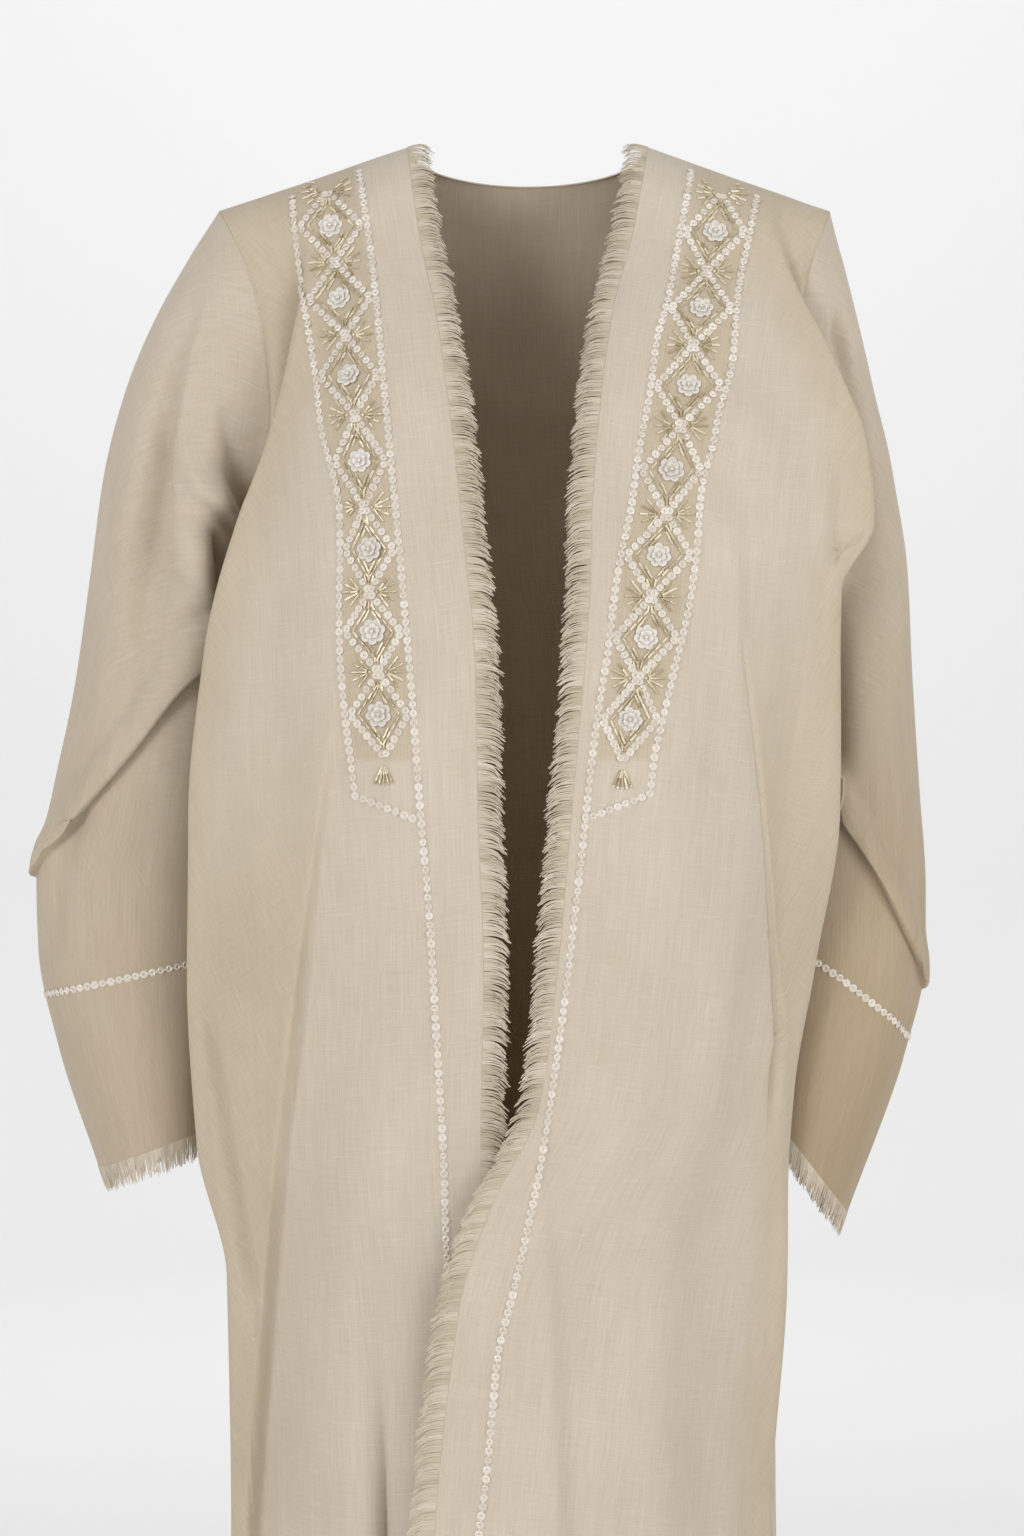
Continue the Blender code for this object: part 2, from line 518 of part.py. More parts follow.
def sleeve_folded(side, rings, stations, turns):
    """Lays the soft folds and the elbow's crease into the rings of a sleeve."""
    down = unit(np.gradient(rings, axis=0))
    around = unit(np.roll(rings, -1, axis=1) - np.roll(rings, 1, axis=1))
    outward = unit(np.cross(around, down))
    middle = rings.mean(axis=1, keepdims=True)
    outward *= np.sign(((rings - middle) * outward).sum(axis=2, keepdims=True))
    degrees = np.degrees(turns)[None, :]
    lift = np.zeros(rings.shape[:2])
    for crease in SLEEVE_CREASES[side]:
        share = (stations - crease.top_station) / (crease.foot_station - crease.top_station)
        share = np.clip(share, 0, 1)
        centre = crease.top_turn + (crease.foot_turn - crease.top_turn) * share
        strength = np.sin(math.pi * share) ** 1.2
        lift += crease.lift * strength * np.exp(-(((degrees - centre) / crease.width) ** 2))
    elbow = ELBOWS[side]
    ahead = (stations - elbow_crossing(side, turns)[None, :]) * STATION_LONG
    turn = ELBOW_TURN * STATION_LONG
    front = ((1 + np.cos(turns[None, :] - math.radians(88))) / 2) ** 1.2
    fall = 1 - smoothstep(-turn, turn, ahead)
    lift += elbow.lift * front * fall * smoothstep(-elbow.reach - turn, -turn, ahead)
    slide = elbow.lap * front * fall * smoothstep(-3 * turn, -turn, ahead)
    return rings + outward * lift[..., None] + down * slide[..., None]


# ---------------------------------------------------------------- walls
def sheet_triangles(grid, closed):
    """Corner indices of a grid's triangles, each quad split along its shorter diagonal. A closed
    grid's last column meets its first."""
    rows, columns = grid.shape[:2]
    points = grid.reshape(-1, 3)
    triangles = []
    for i in range(rows - 1):
        for j in range(columns if closed else columns - 1):
            k = (j + 1) % columns
            a, b, c, d = i * columns + j, (i + 1) * columns + j, (i + 1) * columns + k, i * columns + k
            if np.linalg.norm(points[a] - points[c]) <= np.linalg.norm(points[b] - points[d]):
                triangles += [(a, b, c), (a, c, d)]
            else:
                triangles += [(a, b, d), (b, c, d)]
    return triangles


def shared_normals(sheets):
    """Normals of the middle surfaces, the same for pieces that meet at a point of a seam."""
    total, keys = {}, {}
    for name, (grid, closed, turned) in sheets.items():
        points = grid.reshape(-1, 3)
        keys[name] = [tuple(k) for k in np.round(points * 1e6).astype(int)]
        for triangle in sheet_triangles(grid, closed):
            a, b, c = (points[k] for k in triangle)
            normal = np.cross(b - a, c - a) * turned
            for corner in triangle:
                key = keys[name][corner]
                total[key] = total.get(key, 0) + normal
    return {name: unit(np.array([total[k] for k in keys[name]])).reshape(grid.shape)
            for name, (grid, _, _) in sheets.items()}


def drawn_back(grid, normals, seams):
    """The grid with its sewn borders drawn back by half the seam gap. seams names the borders
    as top, foot, start and end, each with the slice of the border that is sewn."""
    moved = grid.copy()
    borders = {"top": (0, 1, 0), "foot": (-1, -2, 0), "start": (0, 1, 1), "end": (-1, -2, 1)}
    for name, part in seams:
        at, inner, axis = borders[name]
        line, beside = np.take(grid, at, axis=axis), np.take(grid, inner, axis=axis)
        normal = np.take(normals, at, axis=axis)
        ray = unit(np.cross(unit(np.gradient(line, axis=0)), normal))
        ray *= np.sign(((beside - line) * ray).sum(axis=1, keepdims=True))
        step = np.zeros_like(line)
        step[part] = ray[part] * SEAM_GAP / 2
        if axis == 0:
            moved[at] += step
        else:
            moved[:, at] += step
    return moved


def wall(grid, normals, closed, turned, thick):
    """A closed wall round a grid: points and faces, all facing out."""
    half = normals * thick / 2
    points = np.concatenate([(grid + half).reshape(-1, 3), (grid - half).reshape(-1, 3)])
    under = grid.shape[0] * grid.shape[1]
    outside = [t if turned > 0 else t[::-1] for t in sheet_triangles(grid, closed)]
    faces = outside + [tuple(c + under for c in t[::-1]) for t in outside]
    sides = {(a, b) for t in outside for a, b in zip(t, t[1:] + t[:1])}
    faces += [(b, a, a + under, b + under) for a, b in sorted(sides) if (b, a) not in sides]
    return points, faces


# ---------------------------------------------------------------- fringe
def lock_shares(line, closed):
    """Where the locks start along a line of points, counted in points of the line."""
    if closed:
        return np.arange(len(line) * CUFF_LOCK_SHARE + 1) / CUFF_LOCK_SHARE
    shares = [0.0]
    for k, gap in enumerate(np.linalg.norm(np.diff(line, axis=0), axis=1)):
        count = max(round(float(gap) / LOCK_WIDTH), 1)
        shares += [k + (n + 1) / count for n in range(count)]
    return np.array(shares)


def fringe(line, away, normals, closed, turned, hang):
    """A woven strip beside a cut edge with a lock of threads for each step, as one body. Each
    lock differs a little in length and heading. hang is how much it droops."""
    shares = lock_shares(line, closed)
    numbers = np.arange(len(line) + closed)
    loop = [np.concatenate([v, v[:1]]) if closed else v for v in (line, away, normals)]
    along = np.gradient(loop[0], axis=0)
    if closed:
        along[0] = along[-1] = line[1] - line[-1]
    across = loop[1] - unit(along) * (loop[1] * unit(along)).sum(axis=1, keepdims=True)
    root, ray, normal = (read_curve(numbers, v, shares) for v in (loop[0], unit(across), loop[2]))
    ray, normal = unit(ray), unit(normal)
    inner = root + ray * SEAM_GAP
    outer = root + ray * (SEAM_GAP + FRINGE_STRIP)
    half = normal * FRINGE_THICK / 2
    count = len(shares) - 1
    stations = count if closed else count + 1
    ring = [inner + half, inner - half, outer - half, outer + half]
    points = [p for k in range(stations) for p in (r[k] for r in ring)]
    faces = []
    down = np.array([0.0, 0.0, -1.0])
    for k in range(count):
        a, b = 4 * k, 4 * ((k + 1) % stations)
        for m, n in ((0, 1), (1, 2), (3, 0)):
            faces.append((a + m, a + n, b + n, b + m))
        corners = (a + 2, a + 3, b + 3, b + 2)
        middle = np.mean([points[c] for c in corners], axis=0)
        wave = 0.5 + 0.5 * math.sin(2.4 * k + 1.3 * math.sin(0.7 * k))
        sway = LOCK_SWAY * math.sin(1.9 * k)
        heading = unit(ray[k] + down * (hang + LOCK_DROOP * wave) + normal[k] * sway)
        long = FRINGE_LONG * (LOCK_SHORTEST + LOCK_SPREAD * wave)
        tip = middle + heading * (long - FRINGE_STRIP)
        start = len(points)
        points += [tip + (points[c] - middle) * LOCK_TIP_SHARE for c in corners]
        for m in range(4):
            n = (m + 1) % 4
            faces.append((corners[m], corners[n], start + n, start + m))
        faces.append((start, start + 1, start + 2, start + 3))
    if not closed:
        faces.append((3, 2, 1, 0))
        end = 4 * count
        faces.append((end, end + 1, end + 2, end + 3))
    return np.array(points), [f if turned > 0 else f[::-1] for f in faces]


# ---------------------------------------------------------------- objects
def linen(name, colour, roughness):
    material = bpy.data.materials.new(name)
    material.use_nodes = True
    shader = material.node_tree.nodes["Principled BSDF"]
    shader.inputs["Base Color"].default_value = (*colour, 1.0)
    shader.inputs["Roughness"].default_value = roughness
    shader.inputs["Metallic"].default_value = 0.0
    return material


def add_piece(name, points, faces, material):
    mesh = bpy.data.meshes.new(name)
    mesh.from_pydata([tuple(p) for p in points], [], [tuple(f) for f in faces])
    mesh.update()
    mesh.materials.append(material)
    mesh.shade_smooth()
    mesh.set_sharp_from_angle(angle=math.radians(50))
    piece = bpy.data.objects.new(name, mesh)
    bpy.context.scene.collection.objects.link(piece)
    return piece


def main():
    for old in list(bpy.data.objects):
        bpy.data.objects.remove(old)
    fronts = {side: front_sheet(side) for side in (RIGHT, LEFT)}
    back = back_sheet(fronts)
    sleeves = {side: sleeve_sheet(side) for side in (RIGHT, LEFT)}
    sheets = {
        "front_right": (fronts[RIGHT], False, -1),
        "front_left": (fronts[LEFT], False, 1),
        "back": (back, False, -1),
        "sleeve_right": (sleeves[RIGHT], True, 1),
        "sleeve_left": (sleeves[LEFT], True, -1),
    }
    normals = shared_normals(sheets)
    whole = slice(None)
    shoulder = fronts[RIGHT].shape[1]
    seams = {
        "front_right": [("top", whole), ("end", whole)],
        "front_left": [("top", whole), ("end", whole)],
        "back": [("top", slice(0, shoulder)), ("top", slice(-shoulder, None)), ("start", whole),
                 ("end", whole)],
        "sleeve_right": [("top", whole)],
        "sleeve_left": [("top", whole)],
    }
    cloth = linen("sand_linen", (0.60, 0.52, 0.42), 0.85)
    frayed = linen("frayed_linen", (0.64, 0.56, 0.45), 0.90)
    for name, (grid, closed, turned) in sheets.items():
        drawn = drawn_back(grid, normals[name], seams[name])
        add_piece(name, *wall(drawn, normals[name], closed, turned, CLOTH), cloth)
    for side, word in ((RIGHT, "right"), (LEFT, "left")):
        front, normal = fronts[side], normals["front_" + word]
        away = unit(front[:, 0] - front[:, 1])
        threads = fringe(front[:, 0], away, normal[:, 0], False, -side, FRONT_HANG)
        add_piece("front_fringe_" + word, *threads, frayed)
        sleeve, normal = sleeves[side], normals["sleeve_" + word]
        away = unit(sleeve[-1] - sleeve[-2])
        threads = fringe(sleeve[-1], away, normal[-1], True, side, CUFF_HANG)
        add_piece("cuff_fringe_" + word, *threads, frayed)


main()
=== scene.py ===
"""Dresses the abaya: its linen panels, frayed edges, bead and sequin work, light and camera."""
import math
from collections import namedtuple

import bpy
import numpy as np
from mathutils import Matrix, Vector
from mathutils.bvhtree import BVHTree


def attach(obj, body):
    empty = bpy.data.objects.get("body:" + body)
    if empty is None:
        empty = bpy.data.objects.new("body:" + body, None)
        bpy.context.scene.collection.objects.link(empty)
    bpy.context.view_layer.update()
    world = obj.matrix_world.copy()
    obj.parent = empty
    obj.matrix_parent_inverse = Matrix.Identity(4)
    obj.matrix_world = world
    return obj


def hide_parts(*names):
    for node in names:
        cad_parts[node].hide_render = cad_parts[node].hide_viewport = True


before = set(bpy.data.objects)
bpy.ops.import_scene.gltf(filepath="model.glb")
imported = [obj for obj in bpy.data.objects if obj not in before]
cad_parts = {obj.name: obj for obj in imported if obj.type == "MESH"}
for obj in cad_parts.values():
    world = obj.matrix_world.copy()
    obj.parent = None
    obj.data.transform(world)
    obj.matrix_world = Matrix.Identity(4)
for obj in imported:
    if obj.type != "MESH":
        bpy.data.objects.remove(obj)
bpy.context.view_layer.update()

# -------- driving sizes, in metres
LINEN = 0.0009  # wall of the linen
HEM_DROP = 1.360  # neck point to hem
UNDERARM_DROP = 0.225  # neck point to the bottom of the armhole
NECK_OUT = 0.074  # neck point, where the cut front edge crosses the shoulder
NECK_BACK_DROP = 0.018  # how far the back neck dips at the middle
NECK_BACK_AFT = 0.042  # how far it goes round behind the neck
SHOULDER_ROUND = 0.040  # drop over which cloth turns from the shoulder's top to the chest
OVERLAP = 0.0055  # the left front lies this far over the right one
OVERLAP_REACH = 0.034  # and this far beyond its edge, over the fringe
OVERLAP_SINK = 0.060  # further out the lap's floor falls away by this much
OVERLAP_BLEND = 0.003  # and this rounds the cloth where it lifts off
OVERLAP_WIDEST = 0.090  # out beyond which the two fronts never meet
OVERLAP_CREST = 0.004  # a column of the left front follows the crest of that overlap
LIP_BACK, LIP_DEEP = 0.010, 0.012  # how a wing folds back: towards the middle, and behind itself
CHEST_SHARE = 0.46  # where the chest's point lies between the cut edge and the wing
LIP_ARRIVE = 0.014  # cloth runs straight for this length before the wing's edge
SMOOTH_LEAVE, SMOOTH_POCKET = 0.33, 0.66  # a smooth wing's points, as shares of its way to the seam
FOLDED_POCKET = np.array([0.15, 0.85])  # a folded one's, as shares of its way out and fwd
ARMHOLE_BOW = 0.7  # how full an armhole's sides are: 1 is a sine, lower is fuller
RIDGE_FIRST, RIDGE_LAST = 0.024, 0.004  # how near a panel's two borders its main fold may come

RIGHT, LEFT = -1, 1  # the wearer's sides, as the sign of x
WORDS = {RIGHT: "right", LEFT: "left"}
UP, DOWN = np.array([0.0, 0.0, 1.0]), np.array([0.0, 0.0, -1.0])

# How finely the panels are drawn: cells of about 4 mm
ARMHOLE_ROWS = 52
BODY_ROWS = 270
FRONT_STEPS = (12, 28, 4, 4, 22, 8, 8, 6, 8)
WING_COLUMN = sum(FRONT_STEPS[:6])  # the column that runs down a front's wing
BACK_STEPS = (10, 8, 12, 12, 58)
NECK_STEPS = 24
BACK_GUIDES = 12  # guides of the back's section, from the right seam to the left one
BACK_WING, BACK_NECK = 4, 5.15  # the one that arrives at a wing, and the one under a neck point
SLEEVE_STEPS = (6, 66, 4, 6, 6, 6, 48)
SLEEVE_START = 0.50  # station of the first mark after the armhole
SMOOTH_CLOTH, SMOOTH_BEADS = math.radians(60), math.radians(38)  # sharper edges stay sharp
ELBOW_STATIONS = (-0.50, -0.10, 0.0, 0.10, 0.50)

# -------- tables of sections
def named_rows(kind, rows):
    """A table whose rows have named columns."""
    return [kind(*row) for row in rows]


# One row for each level of a front. The wing is the outermost fold, which hangs before the arm;
# lip is how sharply it turns back there, from 0 for a smooth shoulder to 1 for a folded edge.
FrontRow = namedtuple("FrontRow", "drop edge_out edge_fwd chest_fwd wing_out wing_fwd lip")
RIGHT_FRONT = named_rows(FrontRow, [
    (0.000, 0.074, 0.036, 0.038, 0.140, 0.036, 0.0),
    (0.060, 0.066, 0.052, 0.060, 0.134, 0.052, 0.4),
    (0.120, 0.054, 0.086, 0.090, 0.142, 0.070, 1.0),
    (0.180, 0.0455, 0.112, 0.110, 0.158, 0.074, 1.0),
    (0.240, 0.0385, 0.130, 0.122, 0.175, 0.075, 1.0),
    (0.320, 0.031, 0.142, 0.132, 0.195, 0.076, 1.0),
    (0.410, 0.029, 0.147, 0.136, 0.205, 0.076, 1.0),
    (0.500, 0.026, 0.149, 0.138, 0.205, 0.074, 1.0),
    (0.610, 0.028, 0.150, 0.138, 0.198, 0.072, 1.0),
    (0.690, 0.024, 0.151, 0.138, 0.180, 0.066, 0.9),
    (0.850, 0.020, 0.154, 0.140, 0.179, 0.058, 0.7),
    (1.080, 0.014, 0.160, 0.146, 0.187, 0.054, 0.5),
    (1.360, 0.008, 0.168, 0.152, 0.200, 0.052, 0.4),
])
LEFT_FRONT = named_rows(FrontRow, [
    (0.000, 0.074, 0.036, 0.038, 0.140, 0.036, 0.0),
    (0.060, 0.064, 0.052, 0.060, 0.158, 0.056, 0.3),
    (0.120, 0.0495, 0.086, 0.090, 0.185, 0.074, 0.9),
    (0.180, 0.0415, 0.112, 0.106, 0.203, 0.080, 1.0),
    (0.236, 0.0370, 0.130, 0.120, 0.207, 0.081, 1.0),
    (0.275, 0.036, 0.138, 0.126, 0.187, 0.080, 1.0),
    (0.320, 0.033, 0.142, 0.130, 0.186, 0.078, 1.0),
    (0.410, 0.025, 0.149, 0.135, 0.187, 0.075, 1.0),
    (0.500, 0.017, 0.153, 0.137, 0.173, 0.068, 1.0),
    (0.580, 0.006, 0.156, 0.139, 0.159, 0.069, 1.0),
    (0.640, -0.023, 0.157, 0.140, 0.156, 0.068, 1.0),
    (0.700, -0.041, 0.157, 0.141, 0.155, 0.066, 1.0),
    (0.850, -0.056, 0.158, 0.143, 0.146, 0.058, 0.6),
    (1.080, -0.062, 0.163, 0.148, 0.158, 0.054, 0.4),
    (1.360, -0.066, 0.170, 0.154, 0.176, 0.052, 0.3),
])
# The back. Its wings differ from side to side, and are the outermost folds behind the arms.
BackRow = namedtuple("BackRow", "drop centre_aft blade_out blade_aft right_wing left_wing wing_aft lip")
BACK = named_rows(BackRow, [
    (0.000, 0.046, 0.090, 0.040, 0.140, 0.140, 0.036, 0.0),
    (0.060, 0.064, 0.084, 0.064, 0.156, 0.156, 0.054, 0.0),
    (0.120, 0.080, 0.088, 0.082, 0.162, 0.162, 0.068, 0.0),
    (0.180, 0.090, 0.092, 0.092, 0.170, 0.170, 0.077, 0.1),
    (0.240, 0.096, 0.096, 0.097, 0.180, 0.180, 0.082, 0.6),
    (0.300, 0.098, 0.098, 0.099, 0.187, 0.187, 0.084, 1.0),
    (0.410, 0.102, 0.098, 0.102, 0.190, 0.187, 0.084, 1.0),
    (0.520, 0.106, 0.096, 0.105, 0.190, 0.176, 0.084, 1.0),
    (0.610, 0.110, 0.094, 0.108, 0.188, 0.163, 0.084, 1.0),
    (0.700, 0.114, 0.092, 0.111, 0.182, 0.157, 0.083, 0.9),
    (0.850, 0.122, 0.092, 0.116, 0.174, 0.152, 0.080, 0.6),
    (1.080, 0.134, 0.100, 0.126, 0.180, 0.160, 0.080, 0.4),
    (1.360, 0.150, 0.108, 0.138, 0.192, 0.178, 0.082, 0.3),
])
# The side seams, tucked in behind each arm's inner side.
SeamRow = namedtuple("SeamRow", "drop right_out left_out fwd")
SIDE_SEAM = named_rows(SeamRow, [
    (0.225, 0.160, 0.150, 0.000),
    (0.260, 0.158, 0.138, 0.000),
    (0.320, 0.157, 0.124, 0.000),
    (0.410, 0.158, 0.118, -0.002),
    (0.500, 0.160, 0.116, -0.004),
    (0.610, 0.162, 0.118, -0.006),
    (0.720, 0.160, 0.130, -0.008),
    (0.850, 0.160, 0.138, -0.010),
    (1.080, 0.170, 0.152, -0.012),
    (1.360, 0.186, 0.174, -0.014),
])
# Armholes: tip at the shoulder seam, bottom under the arm, and how far the two sides bow.
Armhole = namedtuple("Armhole", "tip_out tip_drop bottom_out front_bow back_bow inward")
ARMHOLES = {
    RIGHT: Armhole(0.190, 0.040, 0.160, 0.050, 0.054, 0.016),
    LEFT: Armhole(0.186, 0.040, 0.150, 0.048, 0.054, 0.008),
}
# Sleeves, ring by ring from the armhole to the cut end of the cuff: the ring's outer and inner
# points as seen from the front, its middle's fwd, and half of its depth from front to back.
SleeveRow = namedtuple("SleeveRow", "station outer_out outer_drop inner_out inner_drop fwd deep")
RIGHT_SLEEVE = named_rows(SleeveRow, [
    (0.0, 0.190, 0.040, 0.160, 0.225, 0.000, 0.051),
    (1.0, 0.209, 0.070, 0.175, 0.231, 0.000, 0.053),
    (2.0, 0.229, 0.106, 0.174, 0.254, 0.000, 0.053),
    (3.0, 0.247, 0.150, 0.172, 0.284, -0.002, 0.053),
    (4.0, 0.260, 0.200, 0.171, 0.316, -0.004, 0.052),
    (5.0, 0.269, 0.262, 0.172, 0.350, -0.006, 0.051),
    (6.0, 0.280, 0.334, 0.173, 0.388, -0.008, 0.050),
    (7.0, 0.294, 0.397, 0.176, 0.424, -0.008, 0.050),
    (8.0, 0.304, 0.447, 0.179, 0.456, -0.006, 0.050),
    (9.0, 0.302, 0.496, 0.182, 0.480, -0.004, 0.050),
    (10.0, 0.288, 0.558, 0.186, 0.526, -0.002, 0.051),
    (11.0, 0.264, 0.628, 0.192, 0.602, 0.000, 0.052),
])
LEFT_SLEEVE = named_rows(SleeveRow, [
    (0.0, 0.186, 0.040, 0.150, 0.225, -0.002, 0.051),
    (1.0, 0.196, 0.074, 0.164, 0.231, -0.003, 0.051),
    (2.0, 0.205, 0.112, 0.159, 0.254, -0.002, 0.052),
    (3.0, 0.214, 0.154, 0.149, 0.284, -0.002, 0.053),
    (4.0, 0.224, 0.204, 0.141, 0.316, -0.004, 0.052),
    (5.0, 0.234, 0.262, 0.137, 0.350, -0.006, 0.051),
    (6.0, 0.238, 0.330, 0.134, 0.388, -0.008, 0.051),
    (7.0, 0.242, 0.398, 0.132, 0.424, -0.008, 0.051),
    (8.0, 0.245, 0.454, 0.132, 0.450, -0.006, 0.051),
    (9.0, 0.244, 0.504, 0.132, 0.470, -0.004, 0.052),
    (10.0, 0.231, 0.562, 0.134, 0.508, -0.002, 0.054),
    (11.0, 0.197, 0.657, 0.138, 0.580, 0.000, 0.056),
])

# -------- tables of folds
# A fold that runs down a front or the back: its out at three drops, how far it lifts off the
# section, how far its lip laps over the cloth beside it, how wide it is, and over how much drop
# it grows.
Fold = namedtuple("Fold", "top mid foot lift lap width grow")
RIGHT_FRONT_FOLDS = named_rows(Fold, [
    ((0.300, 0.106), (0.740, 0.160), (1.360, 0.196), 0.012, 0.006, 0.070, 0.22),
    ((0.560, 0.092), (0.800, 0.088), (1.360, 0.090), -0.016, 0.000, 0.040, 0.30),
])
LEFT_FRONT_FOLDS = named_rows(Fold, [
    ((0.240, 0.118), (0.500, 0.148), (0.640, 0.156), 0.007, 0.004, 0.060, 0.20),
    ((0.560, 0.082), (0.850, 0.072), (1.360, 0.074), -0.012, 0.000, 0.044, 0.30),
])
BACK_FOLDS = named_rows(Fold, [
    ((0.240, 0.000), (0.700, 0.004), (1.360, 0.006), -0.020, 0.000, 0.034, 0.70),
    ((0.280, 0.046), (0.700, 0.050), (1.360, 0.056), 0.016, 0.000, 0.034, 0.60),
    ((0.240, 0.092), (0.700, 0.096), (1.360, 0.104), -0.020, 0.000, 0.032, 0.70),
    ((0.300, 0.132), (0.700, 0.138), (1.360, 0.152), 0.012, 0.000, 0.030, 0.60),
    ((0.280, -0.050), (0.700, -0.044), (1.360, -0.050), 0.018, 0.000, 0.034, 0.60),
    ((0.240, -0.088), (0.700, -0.090), (1.360, -0.098), -0.018, 0.000, 0.032, 0.70),
    ((0.300, -0.128), (0.700, -0.134), (1.360, -0.148), 0.013, 0.000, 0.030, 0.60),
])
# A crease that crosses a sleeve's front at the elbow: its station at the outer side and how much
# earlier it lies at the inner side, its lift and its lap over the forearm.
Elbow = namedtuple("Elbow", "outer_station climb lift lap reach")
ELBOWS = {
    RIGHT: Elbow(8.0, 4.6, 0.009, 0.013, 0.030),
    LEFT: Elbow(9.2, 4.8, 0.008, 0.013, 0.030),
}
# A soft fold along a sleeve: where it lies round the ring (0 outer, 90 front, 180 inner), between
# which stations, its lift and its width round the ring.
Crease = namedtuple("Crease", "top_turn foot_turn top_station foot_station lift width")
SLEEVE_CREASES = {
    RIGHT: [
        Crease(112, 100, 0.6, 5.6, 0.010, 16),
        Crease(74, 70, 0.8, 7.0, -0.009, 16),
        Crease(250, 262, 1.0, 8.0, 0.008, 20),
    ],
    LEFT: [
        Crease(64, 76, 0.6, 6.4, -0.008, 16),
        Crease(250, 240, 1.0, 8.0, 0.008, 20),
    ],
}

LAP_TURN = 0.8  # half the width over which a lapping fold turns back, as a share of its lap
FOLD_FADE = 0.10  # a fold that ends above the hem fades over this drop
ELBOW_TURN = 0.10  # half the width over which the elbow's crease turns back, in stations
ELBOW_FRONT = math.radians(88)  # where round the arm that crease is highest
FADE_POWER = 1.2  # how quickly the sleeves' folds fade at their ends
STATION_LONG = 0.052  # length of a station along a sleeve's middle
SLEEVE_FREED = 0.70  # station where the sleeve has left the armhole's own shape


# -------- curves
def smoothstep(low, high, x):
    share = np.clip((x - low) / (high - low), 0.0, 1.0)
    return share * share * (3.0 - 2.0 * share)


def flow(xs, ys, x):
    """A smooth curve through the points (xs, ys) that never overshoots them, read at x."""
    xs, ys = np.asarray(xs, float), np.asarray(ys, float)
    step, rise = np.diff(xs), np.diff(ys) / np.diff(xs)
    slope = np.zeros(len(xs))
    slope[0], slope[-1] = rise[0], rise[-1]
    for k in range(1, len(xs) - 1):
        if rise[k - 1] * rise[k] > 0.0:
            before, after = step[k - 1] + 2 * step[k], 2 * step[k - 1] + step[k]
            slope[k] = (before + after) / (before / rise[k] + after / rise[k - 1])
    x = np.clip(x, xs[0], xs[-1])
    k = np.clip(np.searchsorted(xs, x, side="right") - 1, 0, len(xs) - 2)
    t = (x - xs[k]) / step[k]
    start = (1 + 2 * t) * (1 - t) ** 2 * ys[k] + t * (1 - t) ** 2 * step[k] * slope[k]
    return start + t * t * (3 - 2 * t) * ys[k + 1] + t * t * (t - 1) * step[k] * slope[k + 1]


def column(table, name, at, key="drop"):
    """One named column of a table, read smoothly between its rows."""
    return float(flow([getattr(r, key) for r in table], [getattr(r, name) for r in table], at))


def thread(points, ends=(None, None), per_segment=40):
    """A smooth curve through the points. Returns its guide numbers (0 at the first point, 1 at
    the second and so on) and its points. ends may fix the direction in which it starts or stops."""
    points = np.asarray(points, float)
    chord = np.maximum(np.linalg.norm(np.diff(points, axis=0), axis=1), 1e-9)[:, None]
    ray = np.diff(points, axis=0) / chord
    slope = np.empty_like(points)
    slope[1:-1] = (ray[:-1] * chord[1:] + ray[1:] * chord[:-1]) / (chord[1:] + chord[:-1])
    slope[0] = ray[0] if ends[0] is None else ends[0]
    slope[-1] = ray[-1] if ends[1] is None else ends[1]
    guide = np.linspace(0, len(points) - 1, (len(points) - 1) * per_segment + 1)
    k = np.minimum(guide.astype(int), len(points) - 2)
    t = (guide - k)[:, None]
    curve = (1 + 2 * t) * (1 - t) ** 2 * points[k] + t * (1 - t) ** 2 * chord[k] * slope[k]
    curve += t * t * (3 - 2 * t) * points[k + 1] + t * t * (t - 1) * chord[k] * slope[k + 1]
    return guide, curve


def unit(v):
    return v / np.maximum(np.linalg.norm(v, axis=-1, keepdims=True), 1e-12)


# -------- folds in a section
def lengths(curve):
    return np.concatenate([[0], np.cumsum(np.linalg.norm(np.diff(curve, axis=0), axis=1))])


def fold_out(fold, drop):
    drops, outs = zip(fold.top, fold.mid, fold.foot)
    return float(flow(drops, outs, drop))


def fold_strength(fold, drop):
    """A fold grows from nothing below its top. One that ends above the hem fades again."""
    grown = smoothstep(fold.top[0], fold.top[0] + fold.grow, drop)
    if fold.foot[0] < HEM_DROP:
        grown = grown * (1 - smoothstep(fold.foot[0] - FOLD_FADE, fold.foot[0], drop))
    return float(grown)


def folded(curve, places, folds, drop):
    """The section's curve with its folds laid in, each at its place along the curve."""
    along = lengths(curve)
    tangent = unit(np.gradient(curve, axis=0))
    outward = np.stack([tangent[:, 1], -tangent[:, 0]], axis=1)
    moved = curve.copy()
    for fold, at in zip(folds, places):
        off = along - at
        if fold.lap > 0.0:
            turn = fold.lap * LAP_TURN
            raised = smoothstep(-fold.width, -turn, off) * (1 - smoothstep(-turn, turn, off))
            shifted = smoothstep(-3 * turn, -turn, off) * (1 - smoothstep(-turn, turn, off))
            moved += tangent * (fold.lap * fold_strength(fold, drop) * shifted)[:, None]
        else:
            raised = np.exp(-2 * (off / fold.width) ** 2)
        moved += outward * (fold.lift * fold_strength(fold, drop) * raised)[:, None]
    return moved


# -------- the body's sections
def shoulder_slope(side, out):
    """How far the shoulder seam lies below the neck point."""
    hole = ARMHOLES[side]
    return hole.tip_drop * (out - NECK_OUT) / (hole.tip_out - NECK_OUT)


def armhole_point(side, turn, front):
    """A point of the armhole. turn is 0 at the tip and 1 under the arm."""
    hole = ARMHOLES[side]
    wave = math.sin(math.pi * turn)
    down = (1 - math.cos(math.pi * turn)) / 2
    bow = max(wave, 0.0) ** ARMHOLE_BOW
    out = hole.tip_out + (hole.bottom_out - hole.tip_out) * down - hole.inward * wave**2 * front
    fwd = hole.front_bow * bow if front else -hole.back_bow * bow
    drop = UNDERARM_DROP * down + shoulder_slope(side, out) * (1 - down)
    return np.array([out, fwd, drop])


